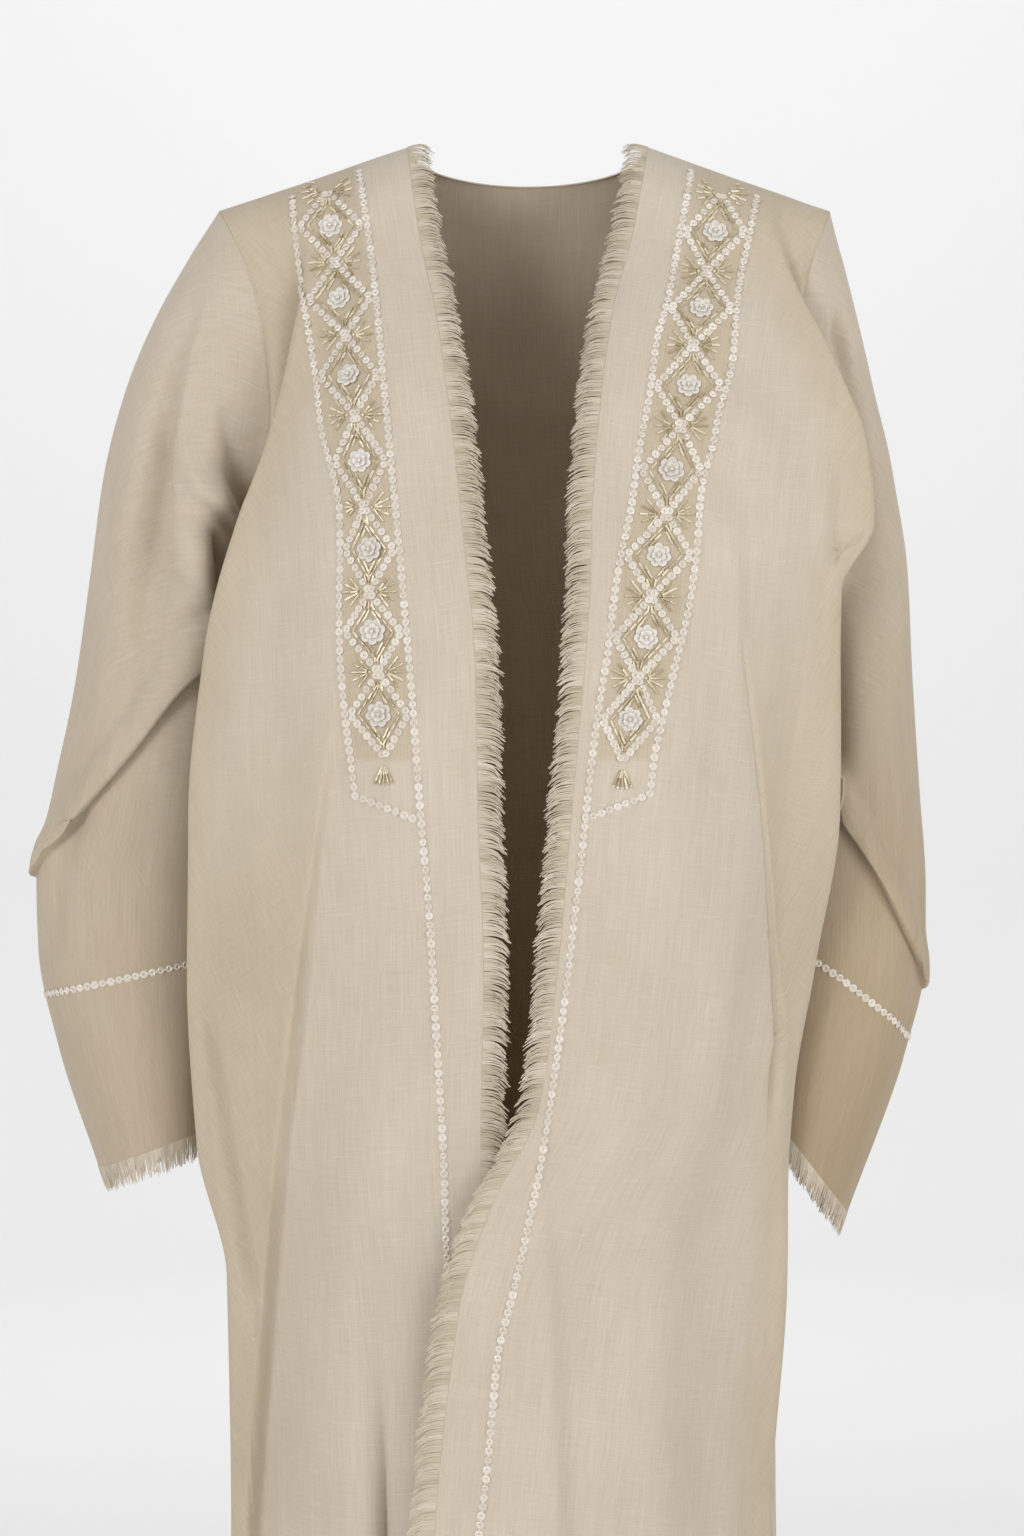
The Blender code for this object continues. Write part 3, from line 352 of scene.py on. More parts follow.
def rounded(drop):
    """Share of its full depth that the cloth has this far below the shoulder's top."""
    return math.sqrt(1 - (1 - min(drop / SHOULDER_ROUND, 1.0)) ** 2)


def seam_point(side, drop, front):
    """(out, fwd) where a front or the back ends: at the armhole, or at the side seam."""
    if drop < UNDERARM_DROP:
        turn = math.acos(1 - 2 * drop / UNDERARM_DROP) / math.pi
        return armhole_point(side, turn, front)[:2]
    name = "right_out" if side == RIGHT else "left_out"
    return np.array([column(SIDE_SEAM, name, drop), column(SIDE_SEAM, "fwd", drop)])


def seam_direction(drop):
    """Cloth passes the side seam heading straight aft. Beside the armhole it is free."""
    return np.array([0.0, -1.0]) if drop >= UNDERARM_DROP else None


def lip_points(before, wing, seam, lip):
    """Where the cloth arrives at a wing, its tip, and two points on its way back to the seam."""
    arrive = wing - unit(wing - before) * LIP_ARRIVE
    behind = -1.0 if wing[1] > 0 else 1.0
    straight = seam - wing
    back = np.array([-LIP_BACK, behind * LIP_DEEP])
    leave = wing + straight * SMOOTH_LEAVE * (1 - lip) + back * lip
    corner = seam + (leave - seam) * FOLDED_POCKET
    pocket = (wing + straight * SMOOTH_POCKET) * (1 - lip) + corner * lip
    return arrive, wing, leave, pocket


def front_curve(side, drop):
    """A front's section as (out, fwd) points, from its cut edge to the seam, with its folds, and
    the distances along it of the places that its columns keep to."""
    table = RIGHT_FRONT if side == RIGHT else LEFT_FRONT
    read = {name: column(table, name, drop) for name in FrontRow._fields[1:]}
    full = rounded(drop)
    edge = np.array([read["edge_out"], read["edge_fwd"] * full])
    wing = np.array([read["wing_out"], read["wing_fwd"] * full])
    chest = np.array([edge[0] + (wing[0] - edge[0]) * CHEST_SHARE, read["chest_fwd"] * full])
    seam = seam_point(side, drop, True)
    points = [edge, chest, *lip_points(chest, wing, seam, read["lip"]), seam]
    guide, curve = thread(points, (None, seam_direction(drop)))
    if side == LEFT:
        curve = laid_over(curve, drop)
    along = lengths(curve)
    face = int(np.searchsorted(guide, 2.0))
    folds = RIGHT_FRONT_FOLDS if side == RIGHT else LEFT_FRONT_FOLDS
    places = [float(np.interp(fold_out(f, drop), curve[:face, 0], along[:face])) for f in folds]
    turn = folds[0].lap * LAP_TURN
    ridge = min(max(places[0], RIDGE_FIRST), along[face] - turn - RIDGE_LAST)
    crest = float(np.interp(OVERLAP_CREST, curve[:face, 0], along[:face]))
    marks = [0.0, max(crest, 0.3 * (ridge - turn)), ridge - turn, ridge, ridge + turn]
    marks += [float(np.interp(k, guide, along)) for k in (2, 3, 4, 5, 6)]
    return folded(curve, places, folds, drop), along, marks


def laid_over(curve, drop):
    """The left front's curve, lifted where it would meet the right front or its fringe."""
    under, along, marks = front_curve(RIGHT, drop)
    face = under[along <= marks[5]]
    x, fwd = -face[::-1, 0], face[::-1, 1]
    beyond = smoothstep(OVERLAP_REACH, OVERLAP_REACH * 2, curve[:, 0] - x[-1])
    floor = np.interp(curve[:, 0], x, fwd) + OVERLAP - OVERLAP_SINK * beyond
    lifted = curve.copy()
    near = curve[:, 1] - floor
    lifted[:, 1] = floor + (near + np.sqrt(near**2 + OVERLAP_BLEND**2)) / 2
    return np.where((curve[:, 0] < OVERLAP_WIDEST)[:, None], lifted, curve)


def back_curve(side, drop):
    """Half of the back's section as (out, fwd) points, from the seam to the middle."""
    read = {name: column(BACK, name, drop) for name in BackRow._fields[1:]}
    full = rounded(drop)
    seam = seam_point(side, drop, False)
    wing_out = read["right_wing" if side == RIGHT else "left_wing"]
    wing = np.array([wing_out, -read["wing_aft"] * full])
    blade = np.array([read["blade_out"], -read["blade_aft"] * full])
    middle = np.array([0.0, -read["centre_aft"] * full])
    arrive, wing, leave, pocket = lip_points(blade, wing, seam, read["lip"])
    points = [seam, pocket, leave, wing, arrive, blade, middle]
    return thread(points, (seam_direction(drop), np.array([-1.0, 0.0])))


def place(side, drop, out, fwd):
    """The point as x, y, z. Rows follow the slope of the shoulder at the top."""
    fade = 1 - min(drop / UNDERARM_DROP, 1.0)
    return np.array([side * out, -fwd, -(drop + shoulder_slope(side, out) * fade)])


def spread(marks, steps):
    """Numbers that run from each mark to the next one in so many even steps."""
    runs = [np.linspace(a, b, n + 1)[:-1] for a, b, n in zip(marks, marks[1:], steps)]
    return np.concatenate([*runs, [marks[-1]]])


def read_curve(numbers, curve, at):
    return np.stack([np.interp(at, numbers, curve[:, k]) for k in range(curve.shape[1])], axis=1)


def back_place(drop, x, fwd):
    """The back's own point. Between the neck points its rows follow the dip of the neck."""
    point = place(LEFT if x > 0 else RIGHT, drop, abs(x), fwd)
    inside = math.sqrt(max(1 - (x / NECK_OUT) ** 2, 0.0))
    fade = 1 - min(drop / UNDERARM_DROP, 1.0)
    point[1] += NECK_BACK_AFT * inside * (1 - rounded(drop))
    if inside > 0.0:
        point[2] = -(drop + NECK_BACK_DROP * inside * fade)
    return point


# -------- sleeves
def sleeve_points(side, stations, turns):
    """Points of a sleeve, each at its station down the arm and its turn round it."""
    table = RIGHT_SLEEVE if side == RIGHT else LEFT_SLEEVE
    own = [row.station for row in table]
    read = {n: flow(own, [getattr(r, n) for r in table], stations) for n in SleeveRow._fields[1:]}
    outer = np.stack([read["outer_out"], read["fwd"], read["outer_drop"]], axis=-1)
    inner = np.stack([read["inner_out"], read["fwd"], read["inner_drop"]], axis=-1)
    ahead = np.stack([0 * stations, read["deep"], 0 * stations], axis=-1)
    round_arm = np.cos(turns)[..., None] * (outer - inner) / 2
    return (outer + inner) / 2 + round_arm + np.sin(turns)[..., None] * ahead


def elbow_crossing(side, turns):
    """Station at which the elbow's crease crosses each turn round the sleeve."""
    elbow = ELBOWS[side]
    return elbow.outer_station - elbow.climb * (1 - np.cos(turns)) / 2


def sleeve_folded(side, rings, stations, turns):
    """Lays the soft folds and the elbow's crease into the rings of a sleeve."""
    down = unit(np.gradient(rings, axis=0))
    around = unit(np.roll(rings, -1, axis=1) - np.roll(rings, 1, axis=1))
    outward = unit(np.cross(around, down))
    middle = rings.mean(axis=1, keepdims=True)
    outward *= np.sign(((rings - middle) * outward).sum(axis=2, keepdims=True))
    degrees = np.degrees(turns)[None, :]
    lift = np.zeros(rings.shape[:2])
    for crease in SLEEVE_CREASES[side]:
        share = (stations - crease.top_station) / (crease.foot_station - crease.top_station)
        share = np.clip(share, 0, 1)
        centre = crease.top_turn + (crease.foot_turn - crease.top_turn) * share
        strength = np.sin(math.pi * share) ** FADE_POWER
        lift += crease.lift * strength * np.exp(-(((degrees - centre) / crease.width) ** 2))
    elbow = ELBOWS[side]
    ahead = (stations - elbow_crossing(side, turns)[None, :]) * STATION_LONG
    turn = ELBOW_TURN * STATION_LONG
    front = ((1 + np.cos(turns[None, :] - ELBOW_FRONT)) / 2) ** FADE_POWER
    fall = 1 - smoothstep(-turn, turn, ahead)
    lift += elbow.lift * front * fall * smoothstep(-elbow.reach - turn, -turn, ahead)
    slide = elbow.lap * front * fall * smoothstep(-3 * turn, -turn, ahead)
    return rings + outward * lift[..., None] + down * slide[..., None]


# -------- fine sheets
def row_drops():
    """Drops of the rows. Those beside the armhole crowd at its two ends."""
    turns = np.linspace(0, 1, ARMHOLE_ROWS + 1)
    beside = UNDERARM_DROP * (1 - np.cos(np.pi * turns)) / 2
    return np.concatenate([beside, np.linspace(UNDERARM_DROP, HEM_DROP, BODY_ROWS + 1)[1:]])


def front_sheet(side):
    """The middle of a front's wall, as a grid: rows down the panel, columns from edge to seam."""
    grid = []
    for drop in row_drops():
        curve, along, marks = front_curve(side, drop)
        points = read_curve(along, curve, spread(marks, FRONT_STEPS))
        grid.append([place(side, drop, out, fwd) for out, fwd in points])
    return np.array(grid)


def back_sheet(fronts):
    """The middle of the back's wall: rows down, columns from the right seam to the left one.
    Its shoulder and side seams are those of the fronts. Under the arms it keeps every second row."""
    grid = []
    half = spread((0, 1, 2, 3, BACK_WING, BACK_NECK), BACK_STEPS)
    middle = np.linspace(half[-1], BACK_GUIDES - half[-1], NECK_STEPS + 1)[1:-1]
    at = np.concatenate([half, middle, BACK_GUIDES - half[::-1]])
    for drop in row_drops():
        guide, right = back_curve(RIGHT, drop)
        _, left = back_curve(LEFT, drop)
        whole = np.concatenate([right * np.array([-1.0, 1.0]), left[::-1][1:]])
        along = lengths(whole)
        turned = int(len(guide) * BACK_WING * 2 / BACK_GUIDES)
        behind = slice(turned, 2 * len(guide) - turned)
        places = [np.interp(fold_out(f, drop), whole[behind, 0], along[behind]) for f in BACK_FOLDS]
        numbers = np.concatenate([guide, BACK_GUIDES - guide[::-1][1:]])
        points = read_curve(numbers, folded(whole, places, BACK_FOLDS, drop), at)
        grid.append([back_place(drop, x, fwd) for x, fwd in points])
    grid = np.array(grid)
    columns = fronts[RIGHT].shape[1]
    grid[0, :columns] = fronts[RIGHT][0][::-1]
    grid[0, -columns:] = fronts[LEFT][0]
    for row in range(ARMHOLE_ROWS, len(grid)):
        grid[row, 0] = fronts[RIGHT][row, -1]
        grid[row, -1] = fronts[LEFT][row, -1]
    across = np.linspace(-1, 1, NECK_STEPS + 1)[1:-1]
    dip = np.sqrt(1 - across**2)
    neck = np.stack([across * NECK_OUT, dip * NECK_BACK_AFT, -dip * NECK_BACK_DROP], axis=1)
    grid[0, columns:-columns] = neck
    return np.concatenate([grid[:ARMHOLE_ROWS], grid[ARMHOLE_ROWS::2]])


def sleeve_sheet(side):
    """The middle of a sleeve's wall: rings down the arm, points round it from the shoulder tip
    through the front, the underarm and the back. Also the station and turn of every point."""
    rows = ARMHOLE_ROWS
    turns = np.linspace(0, 2 * math.pi, 2 * rows + 1)[:-1]
    hole = [armhole_point(side, k / rows, True) for k in range(rows + 1)]
    hole += [armhole_point(side, 1 - k / rows, False) for k in range(1, rows)]
    crossing = elbow_crossing(side, turns)
    last = RIGHT_SLEEVE[-1].station
    marks = [np.zeros_like(turns), np.full_like(turns, SLEEVE_START)]
    marks += [*(crossing + s for s in ELBOW_STATIONS), np.full_like(turns, last)]
    stations = np.array([spread([m[k] for m in marks], SLEEVE_STEPS) for k in range(len(turns))]).T
    rings = sleeve_points(side, stations, turns[None, :] + 0 * stations)
    freed = smoothstep(0.0, SLEEVE_FREED, stations)[..., None]
    rings = np.array(hole)[None] * (1 - freed) + rings * freed
    rings[1:] = sleeve_folded(side, rings, stations, turns)[1:]
    return rings * np.array([side, -1.0, -1.0]), stations, turns


def surface_normals(grid, closed, turned):
    """Outward normals at the points of a grid."""
    if closed:
        across = np.roll(grid, -1, axis=1) - np.roll(grid, 1, axis=1)
    else:
        across = np.gradient(grid, axis=1)
    return unit(np.cross(np.gradient(grid, axis=0), across)) * turned


def paths(grid, axis):
    """Distance along the grid's rows or columns from its first point."""
    step = np.linalg.norm(np.diff(grid, axis=axis), axis=2)
    return np.insert(np.cumsum(step, axis=axis), 0, 0.0, axis=axis)


def crease_heights(across, down, creases):
    """Height that a list of creases gives each point. A crease follows its line of places and
    fades at both ends. Its hard side, on the left as it runs down, falls off more steeply."""
    height = np.zeros_like(across)
    for crease in creases:
        line = np.array(crease.line)
        reach = lengths(line)
        nearest = np.full(across.shape, np.inf)
        beside, along = np.zeros_like(across), np.zeros_like(across)
        for start, stop, before in zip(line, line[1:], reach):
            run = stop - start
            long = math.hypot(*run)
            rel = ((across - start[0]) * run[0] + (down - start[1]) * run[1]) / long**2
            share = np.clip(rel, 0, 1)
            off = np.hypot(across - start[0] - run[0] * share, down - start[1] - run[1] * share)
            turn = (across - start[0]) * run[1] - (down - start[1]) * run[0]
            closer = off < nearest
            nearest = np.where(closer, off, nearest)
            beside = np.where(closer, np.sign(turn) * off, beside)
            along = np.where(closer, before + long * share, along)
        share = along / reach[-1]
        fade = smoothstep(0, crease.fade[0], share) * (1 - smoothstep(1 - crease.fade[1], 1, share))
        wide = np.where(beside > 0, crease.width, crease.width * crease.hard)
        height += crease.height * fade * np.exp(-((nearest / wide) ** 2))
    return height


def ripples(across, down, size, seed):
    """The slight unevenness of hanging cloth: a few long waves that lean either way."""
    chance = np.random.default_rng(seed)
    height = np.zeros_like(across)
    for _ in range(RIPPLES):
        wide, long = chance.uniform(*RIPPLE_WIDE), chance.uniform(*RIPPLE_LONG)
        lean, phase = chance.uniform(-1, 1), chance.uniform(0, 2 * math.pi)
        height += np.sin(2 * math.pi * (across / wide + lean * down / long) + phase)
    return height * size / RIPPLES


def made_piece(name, points, faces, values, material):
    """A new piece in the scene. values holds its named numbers, one for each point."""
    mesh = bpy.data.meshes.new(name)
    mesh.from_pydata(points.reshape(-1, 3).tolist(), [], faces)
    for key, value in values.items():
        attribute = mesh.attributes.new(key, "FLOAT", "POINT")
        attribute.data.foreach_set("value", value.astype(np.float32).ravel())
    mesh.materials.append(material)
    piece = bpy.data.objects.new(name, mesh)
    bpy.context.scene.collection.objects.link(piece)
    return piece


def choose(piece):
    """Makes the piece the only one that the next operator works on."""
    bpy.ops.object.select_all(action="DESELECT")
    bpy.context.view_layer.objects.active = piece
    piece.select_set(True)


def quads(number, turned):
    """Faces between neighbours in a grid of point numbers. turned is 1 or -1."""
    corners = (number[:-1, :-1], number[1:, :-1], number[1:, 1:], number[:-1, 1:])
    return np.stack(corners, axis=-1).reshape(-1, 4)[:, ::turned]


def cloth_mesh(name, grid, closed, turned, uv, values, material):
    """A wall of linen round a grid, with its weave map in metres and its named values."""
    rows, columns = grid.shape[:2]
    number = np.arange(rows * columns).reshape(rows, columns)
    if closed:
        number = np.concatenate([number, number[:, :1]], axis=1)
    piece = made_piece(name, grid, quads(number, turned).tolist(), values, material)
    corners = quads(np.arange(rows * uv.shape[1]).reshape(rows, -1), turned)
    layer = piece.data.uv_layers.new(name="weave")
    layer.data.foreach_set("uv", uv.reshape(-1, 2)[corners.reshape(-1)].astype(np.float32).ravel())
    wall = piece.modifiers.new("wall", "SOLIDIFY")
    wall.thickness, wall.offset = LINEN, 0.0
    choose(piece)
    bpy.ops.object.modifier_apply(modifier="wall")
    bpy.ops.object.shade_smooth_by_angle(angle=SMOOTH_CLOTH)
    return piece


# -------- small creases
# One crease: the line it follows, how high it stands (or how deep it lies), how wide it is, how
# much narrower its hard side is, and the shares of its length over which it starts and ends.
Small = namedtuple("Small", "line height width hard fade", defaults=(1.0, (0.3, 0.3)))
# On a front, a place is x times the side, and the drop.
RIGHT_CREASES = named_rows(Small, [
    ([(0.1970, 0.505), (0.1765, 0.629), (0.1658, 0.694), (0.1634, 0.740)], -0.0060, 0.0040, 1.0,
     (0.2, 0.3)),
    ([(0.076, 1.360), (0.0830, 0.860), (0.0865, 0.780), (0.0940, 0.684), (0.0970, 0.600),
      (0.0950, 0.520)], -0.0150, 0.1100, 0.22, (0.1, 0.45)),
    ([(0.076, 1.360), (0.0830, 0.860), (0.0865, 0.780), (0.0940, 0.684), (0.0970, 0.600)],
     -0.0140, 0.0200, 1.0, (0.1, 0.35)),
    ([(0.158, 0.262), (0.140, 0.420), (0.116, 0.640)], -0.0020, 0.014),
    ([(0.172, 0.300), (0.162, 0.420), (0.150, 0.560)], 0.0018, 0.010),
    ([(0.120, 0.560), (0.128, 0.760), (0.140, 1.000)], 0.0016, 0.016),
    ([(0.062, 0.700), (0.056, 0.960), (0.050, 1.200)], 0.0014, 0.014),
])
LEFT_CREASES = named_rows(Small, [
    ([(0.1520, 0.680), (0.1495, 0.572), (0.1424, 0.482), (0.1325, 0.407), (0.1231, 0.336),
      (0.1213, 0.284), (0.1166, 0.190)], 0.0040, 0.020, 0.30, (0.35, 0.25)),
    ([(0.1890, 0.185), (0.1868, 0.215), (0.1845, 0.262)], -0.0050, 0.0045, 1.0, (0.5, 0.1)),
    ([(0.2090, 0.2425), (0.1990, 0.2500), (0.1840, 0.2600)], -0.0045, 0.0045, 1.0, (0.1, 0.1)),
    ([(0.1100, 0.150), (0.1300, 0.185), (0.1560, 0.212)], 0.0048, 0.014, 1.0, (0.4, 0.5)),
    ([(0.1050, 0.190), (0.1280, 0.225), (0.1480, 0.250)], -0.0034, 0.014, 1.0, (0.4, 0.5)),
    ([(0.130, 0.640), (0.136, 0.900), (0.142, 1.360)], -0.0036, 0.013, 1.0, (0.3, 0.1)),
    ([(0.118, 0.680), (0.122, 0.960), (0.126, 1.360)], 0.0022, 0.014, 1.0, (0.3, 0.1)),
    ([(0.160, 0.300), (0.152, 0.420), (0.146, 0.560)], -0.0022, 0.012),
    ([(0.060, 0.720), (0.056, 1.000), (0.052, 1.300)], -0.0018, 0.016),
])
# On the back, a place is x and the drop.
BACK_CREASES = named_rows(Small, [
    ([(-0.120, 0.200), (-0.080, 0.330), (-0.030, 0.420)], 0.0030, 0.014),
    ([(0.128, 0.190), (0.070, 0.320), (0.040, 0.400)], 0.0028, 0.013),
    ([(-0.070, 0.120), (0.000, 0.160), (0.060, 0.150)], -0.0020, 0.014),
    ([(-0.022, 0.500), (-0.018, 0.900), (-0.026, 1.360)], 0.0024, 0.013, 1.0, (0.3, 0.1)),
    ([(0.072, 0.560), (0.070, 0.900), (0.080, 1.360)], -0.0024, 0.013, 1.0, (0.3, 0.1)),
])
# On a sleeve, a place is the turn round the arm and the station, both as metres of cloth.
RIGHT_SLEEVE_CREASES = named_rows(Small, [
    ([(0.0500, 0.030), (0.0600, 0.090), (0.0667, 0.124), (0.0750, 0.173), (0.0800, 0.206),
      (0.0930, 0.224)], 0.0075, 0.013, 0.30, (0.3, 0.15)),
    ([(0.0560, 0.120), (0.0605, 0.175), (0.0620, 0.208), (0.0660, 0.248)], -0.0050, 0.009),
    ([(0.0778, 0.146), (0.0889, 0.128), (0.1056, 0.106), (0.1195, 0.095)], 0.0085, 0.014, 0.22,
     (0.3, 0.2)),
    ([(0.0920, 0.140), (0.1040, 0.150), (0.1090, 0.176), (0.1100, 0.205)], -0.0125, 0.010, 1.0,
     (0.2, 0.3)),
    ([(0.0800, 0.156), (0.0860, 0.182), (0.0900, 0.204), (0.0950, 0.216)], 0.0040, 0.007),
    ([(0.0300, 0.040), (0.0330, 0.110), (0.0380, 0.190)], 0.0030, 0.012),
    ([(0.0300, 0.200), (0.0480, 0.270), (0.0560, 0.300)], 0.0020, 0.010),
    ([(0.0417, 0.366), (0.0350, 0.410), (0.0290, 0.460), (0.0120, 0.495)], -0.0050, 0.008, 1.0,
     (0.1, 0.3)),
    ([(0.0800, 0.330), (0.0700, 0.420), (0.0740, 0.480)], -0.0018, 0.012),
    ([(0.070, 0.510), (0.088, 0.590)], -0.0014, 0.014),
    ([(0.190, 0.100), (0.216, 0.180), (0.230, 0.260)], -0.0030, 0.012),
    ([(0.210, 0.330), (0.180, 0.450)], 0.0028, 0.012),
    ([(0.240, 0.300), (0.215, 0.380), (0.212, 0.440)], -0.0030, 0.010),
])
LEFT_SLEEVE_CREASES = named_rows(Small, [
    ([(0.0500, 0.040), (0.0420, 0.120), (0.0400, 0.182), (0.0440, 0.216), (0.0560, 0.228)],
     -0.0070, 0.0065, 1.0, (0.1, 0.2)),
    ([(0.0680, 0.222), (0.0725, 0.260), (0.0745, 0.310), (0.0765, 0.360)], -0.0200, 0.0085, 1.0,
     (0.15, 0.25)),
    ([(0.0080, 0.150), (0.0180, 0.230), (0.0300, 0.320)], 0.0020, 0.012),
    ([(0.024, 0.090), (0.046, 0.180), (0.056, 0.280)], -0.0026, 0.011),
    ([(0.064, 0.240), (0.050, 0.320), (0.036, 0.400)], 0.0020, 0.011),
    ([(0.052, 0.480), (0.064, 0.575)], -0.0016, 0.012),
    ([(0.190, 0.120), (0.216, 0.200), (0.226, 0.300)], -0.0030, 0.012),
    ([(0.214, 0.330), (0.184, 0.460)], 0.0026, 0.012),
    ([(0.240, 0.300), (0.222, 0.400)], -0.0028, 0.010),
])
RIPPLE = 0.0026  # the unevenness of hanging cloth, from lowest to highest
FRONT_SEED, BACK_SEED, SLEEVE_SEED = 11, 5, 21  # start the ripples' random draws
RIPPLES, RIPPLE_WIDE, RIPPLE_LONG = 7, (0.05, 0.11), (0.25, 0.6)  # how many waves, and their sizes
SEWN_FADE = 0.030  # creases die out this near to a sewn border
UNSEWN = 1.0  # stands for a border that isn't sewn or hemmed: a distance that no cloth reaches
WING_BLEND = 4  # columns over which a front's creases end before its wing
ARM_AROUND = 0.046  # metres of cloth for one radian round a sleeve
# Painted shade: cloth that hangs free of the wearer is drawn warmer and a little darker, for the shade
# of cloth that turns from the light with nothing lit behind it: beyond a front's main ridge, near its
# wing, and more and more towards a cuff.
PAINTED_SHADE_EDGE, PAINTED_SHADE_WING = 0.0025, 0.045
# Painted shade on each sleeve, stronger on the left one; the whole back takes an even share of the same
# darker, warmer colour
PAINTED_SHADE_SLEEVE = {RIGHT: 0.50, LEFT: 1.0}
BACK_EVEN_DARKER_SHARE = 0.4
SLEEVE_BIAS, SLEEVE_BIAS_END = 0.9, (0.24, 0.34)  # the grain's slant, and from where to where it ends
BAND_FOOT = 0.020  # painted shade on the cloth between the beads, for their shadows and the gathers they pull, ends this far above
BAND_BLEND = 0.004  # and fades in over this distance from the borders


def moved_out(grid, closed, turned, height):
    """The grid with each point moved out along its normal by its height."""
    return grid + surface_normals(grid, closed, turned) * height[..., None]


def make_front(side, grid, material):
    """A front's grid with its small creases laid in, and its linen piece."""
    long, wide = paths(grid, 0), paths(grid, 1)
    sewn = np.minimum(wide[:, -1:] - wide, long)
    calm = smoothstep(0.0, SEWN_FADE, sewn)
    creases = RIGHT_CREASES if side == RIGHT else LEFT_CREASES
    face = 1 - smoothstep(WING_COLUMN - WING_BLEND, WING_COLUMN, np.arange(grid.shape[1]))
    shown = crease_heights(side * grid[..., 0], -grid[..., 2], creases) * face
    height = (shown + ripples(wide, long, RIPPLE, FRONT_SEED + side)) * calm
    moved = moved_out(grid, False, side, height)
    out = side * moved[..., 0]
    uv = np.stack([wide - wide[:, :1], -long], axis=-1)
    fold = (RIGHT_FRONT_FOLDS if side == RIGHT else LEFT_FRONT_FOLDS)[0]
    ridge, strong = np.array([[fold_out(fold, d), fold_strength(fold, d)] for d in row_drops()]).T
    # Painted shade beyond the main ridge and near the wing, carried in the value free
    free = smoothstep(-PAINTED_SHADE_EDGE, PAINTED_SHADE_EDGE, out - ridge[:, None]) * strong[:, None]
    to_wing = wide[:, WING_COLUMN, None] - wide
    free = np.maximum(free, 1 - smoothstep(0.0, PAINTED_SHADE_WING, to_wing))
    # Painted shade in the bead band, for the beads' shadows and gathers, is carried in the value free
    near, far = (np.array([[read_at(t[side], d)] for d in row_drops()]) for t in (INNER, OUTER))
    inside = smoothstep(0.0, BAND_BLEND, out - near) * smoothstep(0.0, BAND_BLEND, far - out)
    shaded = np.where(-moved[..., 2] < OUTER[side][-1][1] - BAND_FOOT, inside, 0.0)
    values = {"sewn": sewn, "hem": long[-1:] - long, "free": np.maximum(free, shaded), "bias": free}
    name = "front_" + WORDS[side] + "_linen"
    return moved, cloth_mesh(name, moved, False, side, uv, values, material)


def make_back(grid, material):
    """The back's linen piece, with its small creases laid in."""
    long, wide = paths(grid, 0), paths(grid, 1)
    top = long.copy()
    columns = sum(FRONT_STEPS) + 1
    top[:, columns + 1:-columns - 1] = UNSEWN
    sewn = np.minimum(np.minimum(wide, wide[:, -1:] - wide), top)
    calm = smoothstep(0.0, SEWN_FADE, np.minimum(sewn, long))
    height = crease_heights(grid[..., 0], -grid[..., 2], BACK_CREASES)
    height += ripples(grid[..., 0], -grid[..., 2], RIPPLE, BACK_SEED)
    moved = moved_out(grid, False, -1, height * calm)
    uv = np.stack([wide - wide[:, -1:] / 2, -long], axis=-1)
    # An even share of the darker, warmer colour over the whole back
    free, bias = np.full_like(long, BACK_EVEN_DARKER_SHARE), np.zeros_like(long)
    values = {"sewn": sewn, "hem": long[-1:] - long, "free": free, "bias": bias}
    return cloth_mesh("back_linen", moved, False, -1, uv, values, material)


def make_sleeve(side, sheet, material):
    """A sleeve's grid with its small creases laid in, and its linen piece."""
    grid, stations, turns = sheet
    long = paths(grid, 0)
    calm = smoothstep(0.0, SEWN_FADE, long)
    down = stations * STATION_LONG
    across = turns[None, :] * ARM_AROUND + 0.0 * stations
    creases = RIGHT_SLEEVE_CREASES if side == RIGHT else LEFT_SLEEVE_CREASES
    round_arm = np.sin(turns)[None, :] * ARM_AROUND * 2 + 0.0 * stations
    height = crease_heights(across, down, creases)
    height += ripples(round_arm, down, RIPPLE, SLEEVE_SEED + side)
    moved = moved_out(grid, True, -side, height * calm)
    around = np.append(turns, 2 * math.pi) * ARM_AROUND
    closed_long = np.concatenate([long, long[:, :1]], axis=1)
    uv = np.stack([around[None, :] + 0.0 * closed_long, -closed_long], axis=-1)
    under = np.abs(turns[None, :] - math.pi) * ARM_AROUND + 0.0 * long
    # Painted shade that grows towards the cuff, carried in the value free
    free = PAINTED_SHADE_SLEEVE[side] * smoothstep(0.0, 1.0, long / long[-1:])
    bias = SLEEVE_BIAS * (1 - smoothstep(*SLEEVE_BIAS_END, long))
    values = {"sewn": np.minimum(long, under), "hem": np.full_like(long, UNSEWN), "free": free, "bias": bias}
    name = "sleeve_" + WORDS[side] + "_linen"
    return moved, cloth_mesh(name, moved, True, -side, uv, values, material)


# -------- frayed edges
THREAD_STEPS = 5  # rings along a loose thread
THREAD_THICK = 0.00040  # half its width at the root
THREAD_FLAT = 0.25  # its thickness as a share of its width
THREAD_ON_TOP = 0.0007  # how far over the middle of the wall it leaves the cloth
THREAD_ROOTED = 0.0030  # it starts this far inside the cloth
THREAD_SHARES = np.linspace(0, 1, THREAD_STEPS)
THREAD_TAPER = 0.35  # how much thinner the ends are
THREAD_SHORTER = 0.28  # how much of its reach a thread that droops loses
CLUMP = 0.0036  # threads lean together in clumps of about this width
CLUMP_PULL = 0.10  # how far towards the clump's middle
THREADS_STRAY, STRAY_LEAN = 0.03, 0.35  # the share that lean out of their clump, and how far
# Number of threads, their length, and how much they droop.
FRONT_FRAY, CUFF_FRAY = (2700, 0.0165, 0.30), (560, 0.0150, 0.05)
FRONT_FRAY_SEED, CUFF_FRAY_SEED = 100, 110


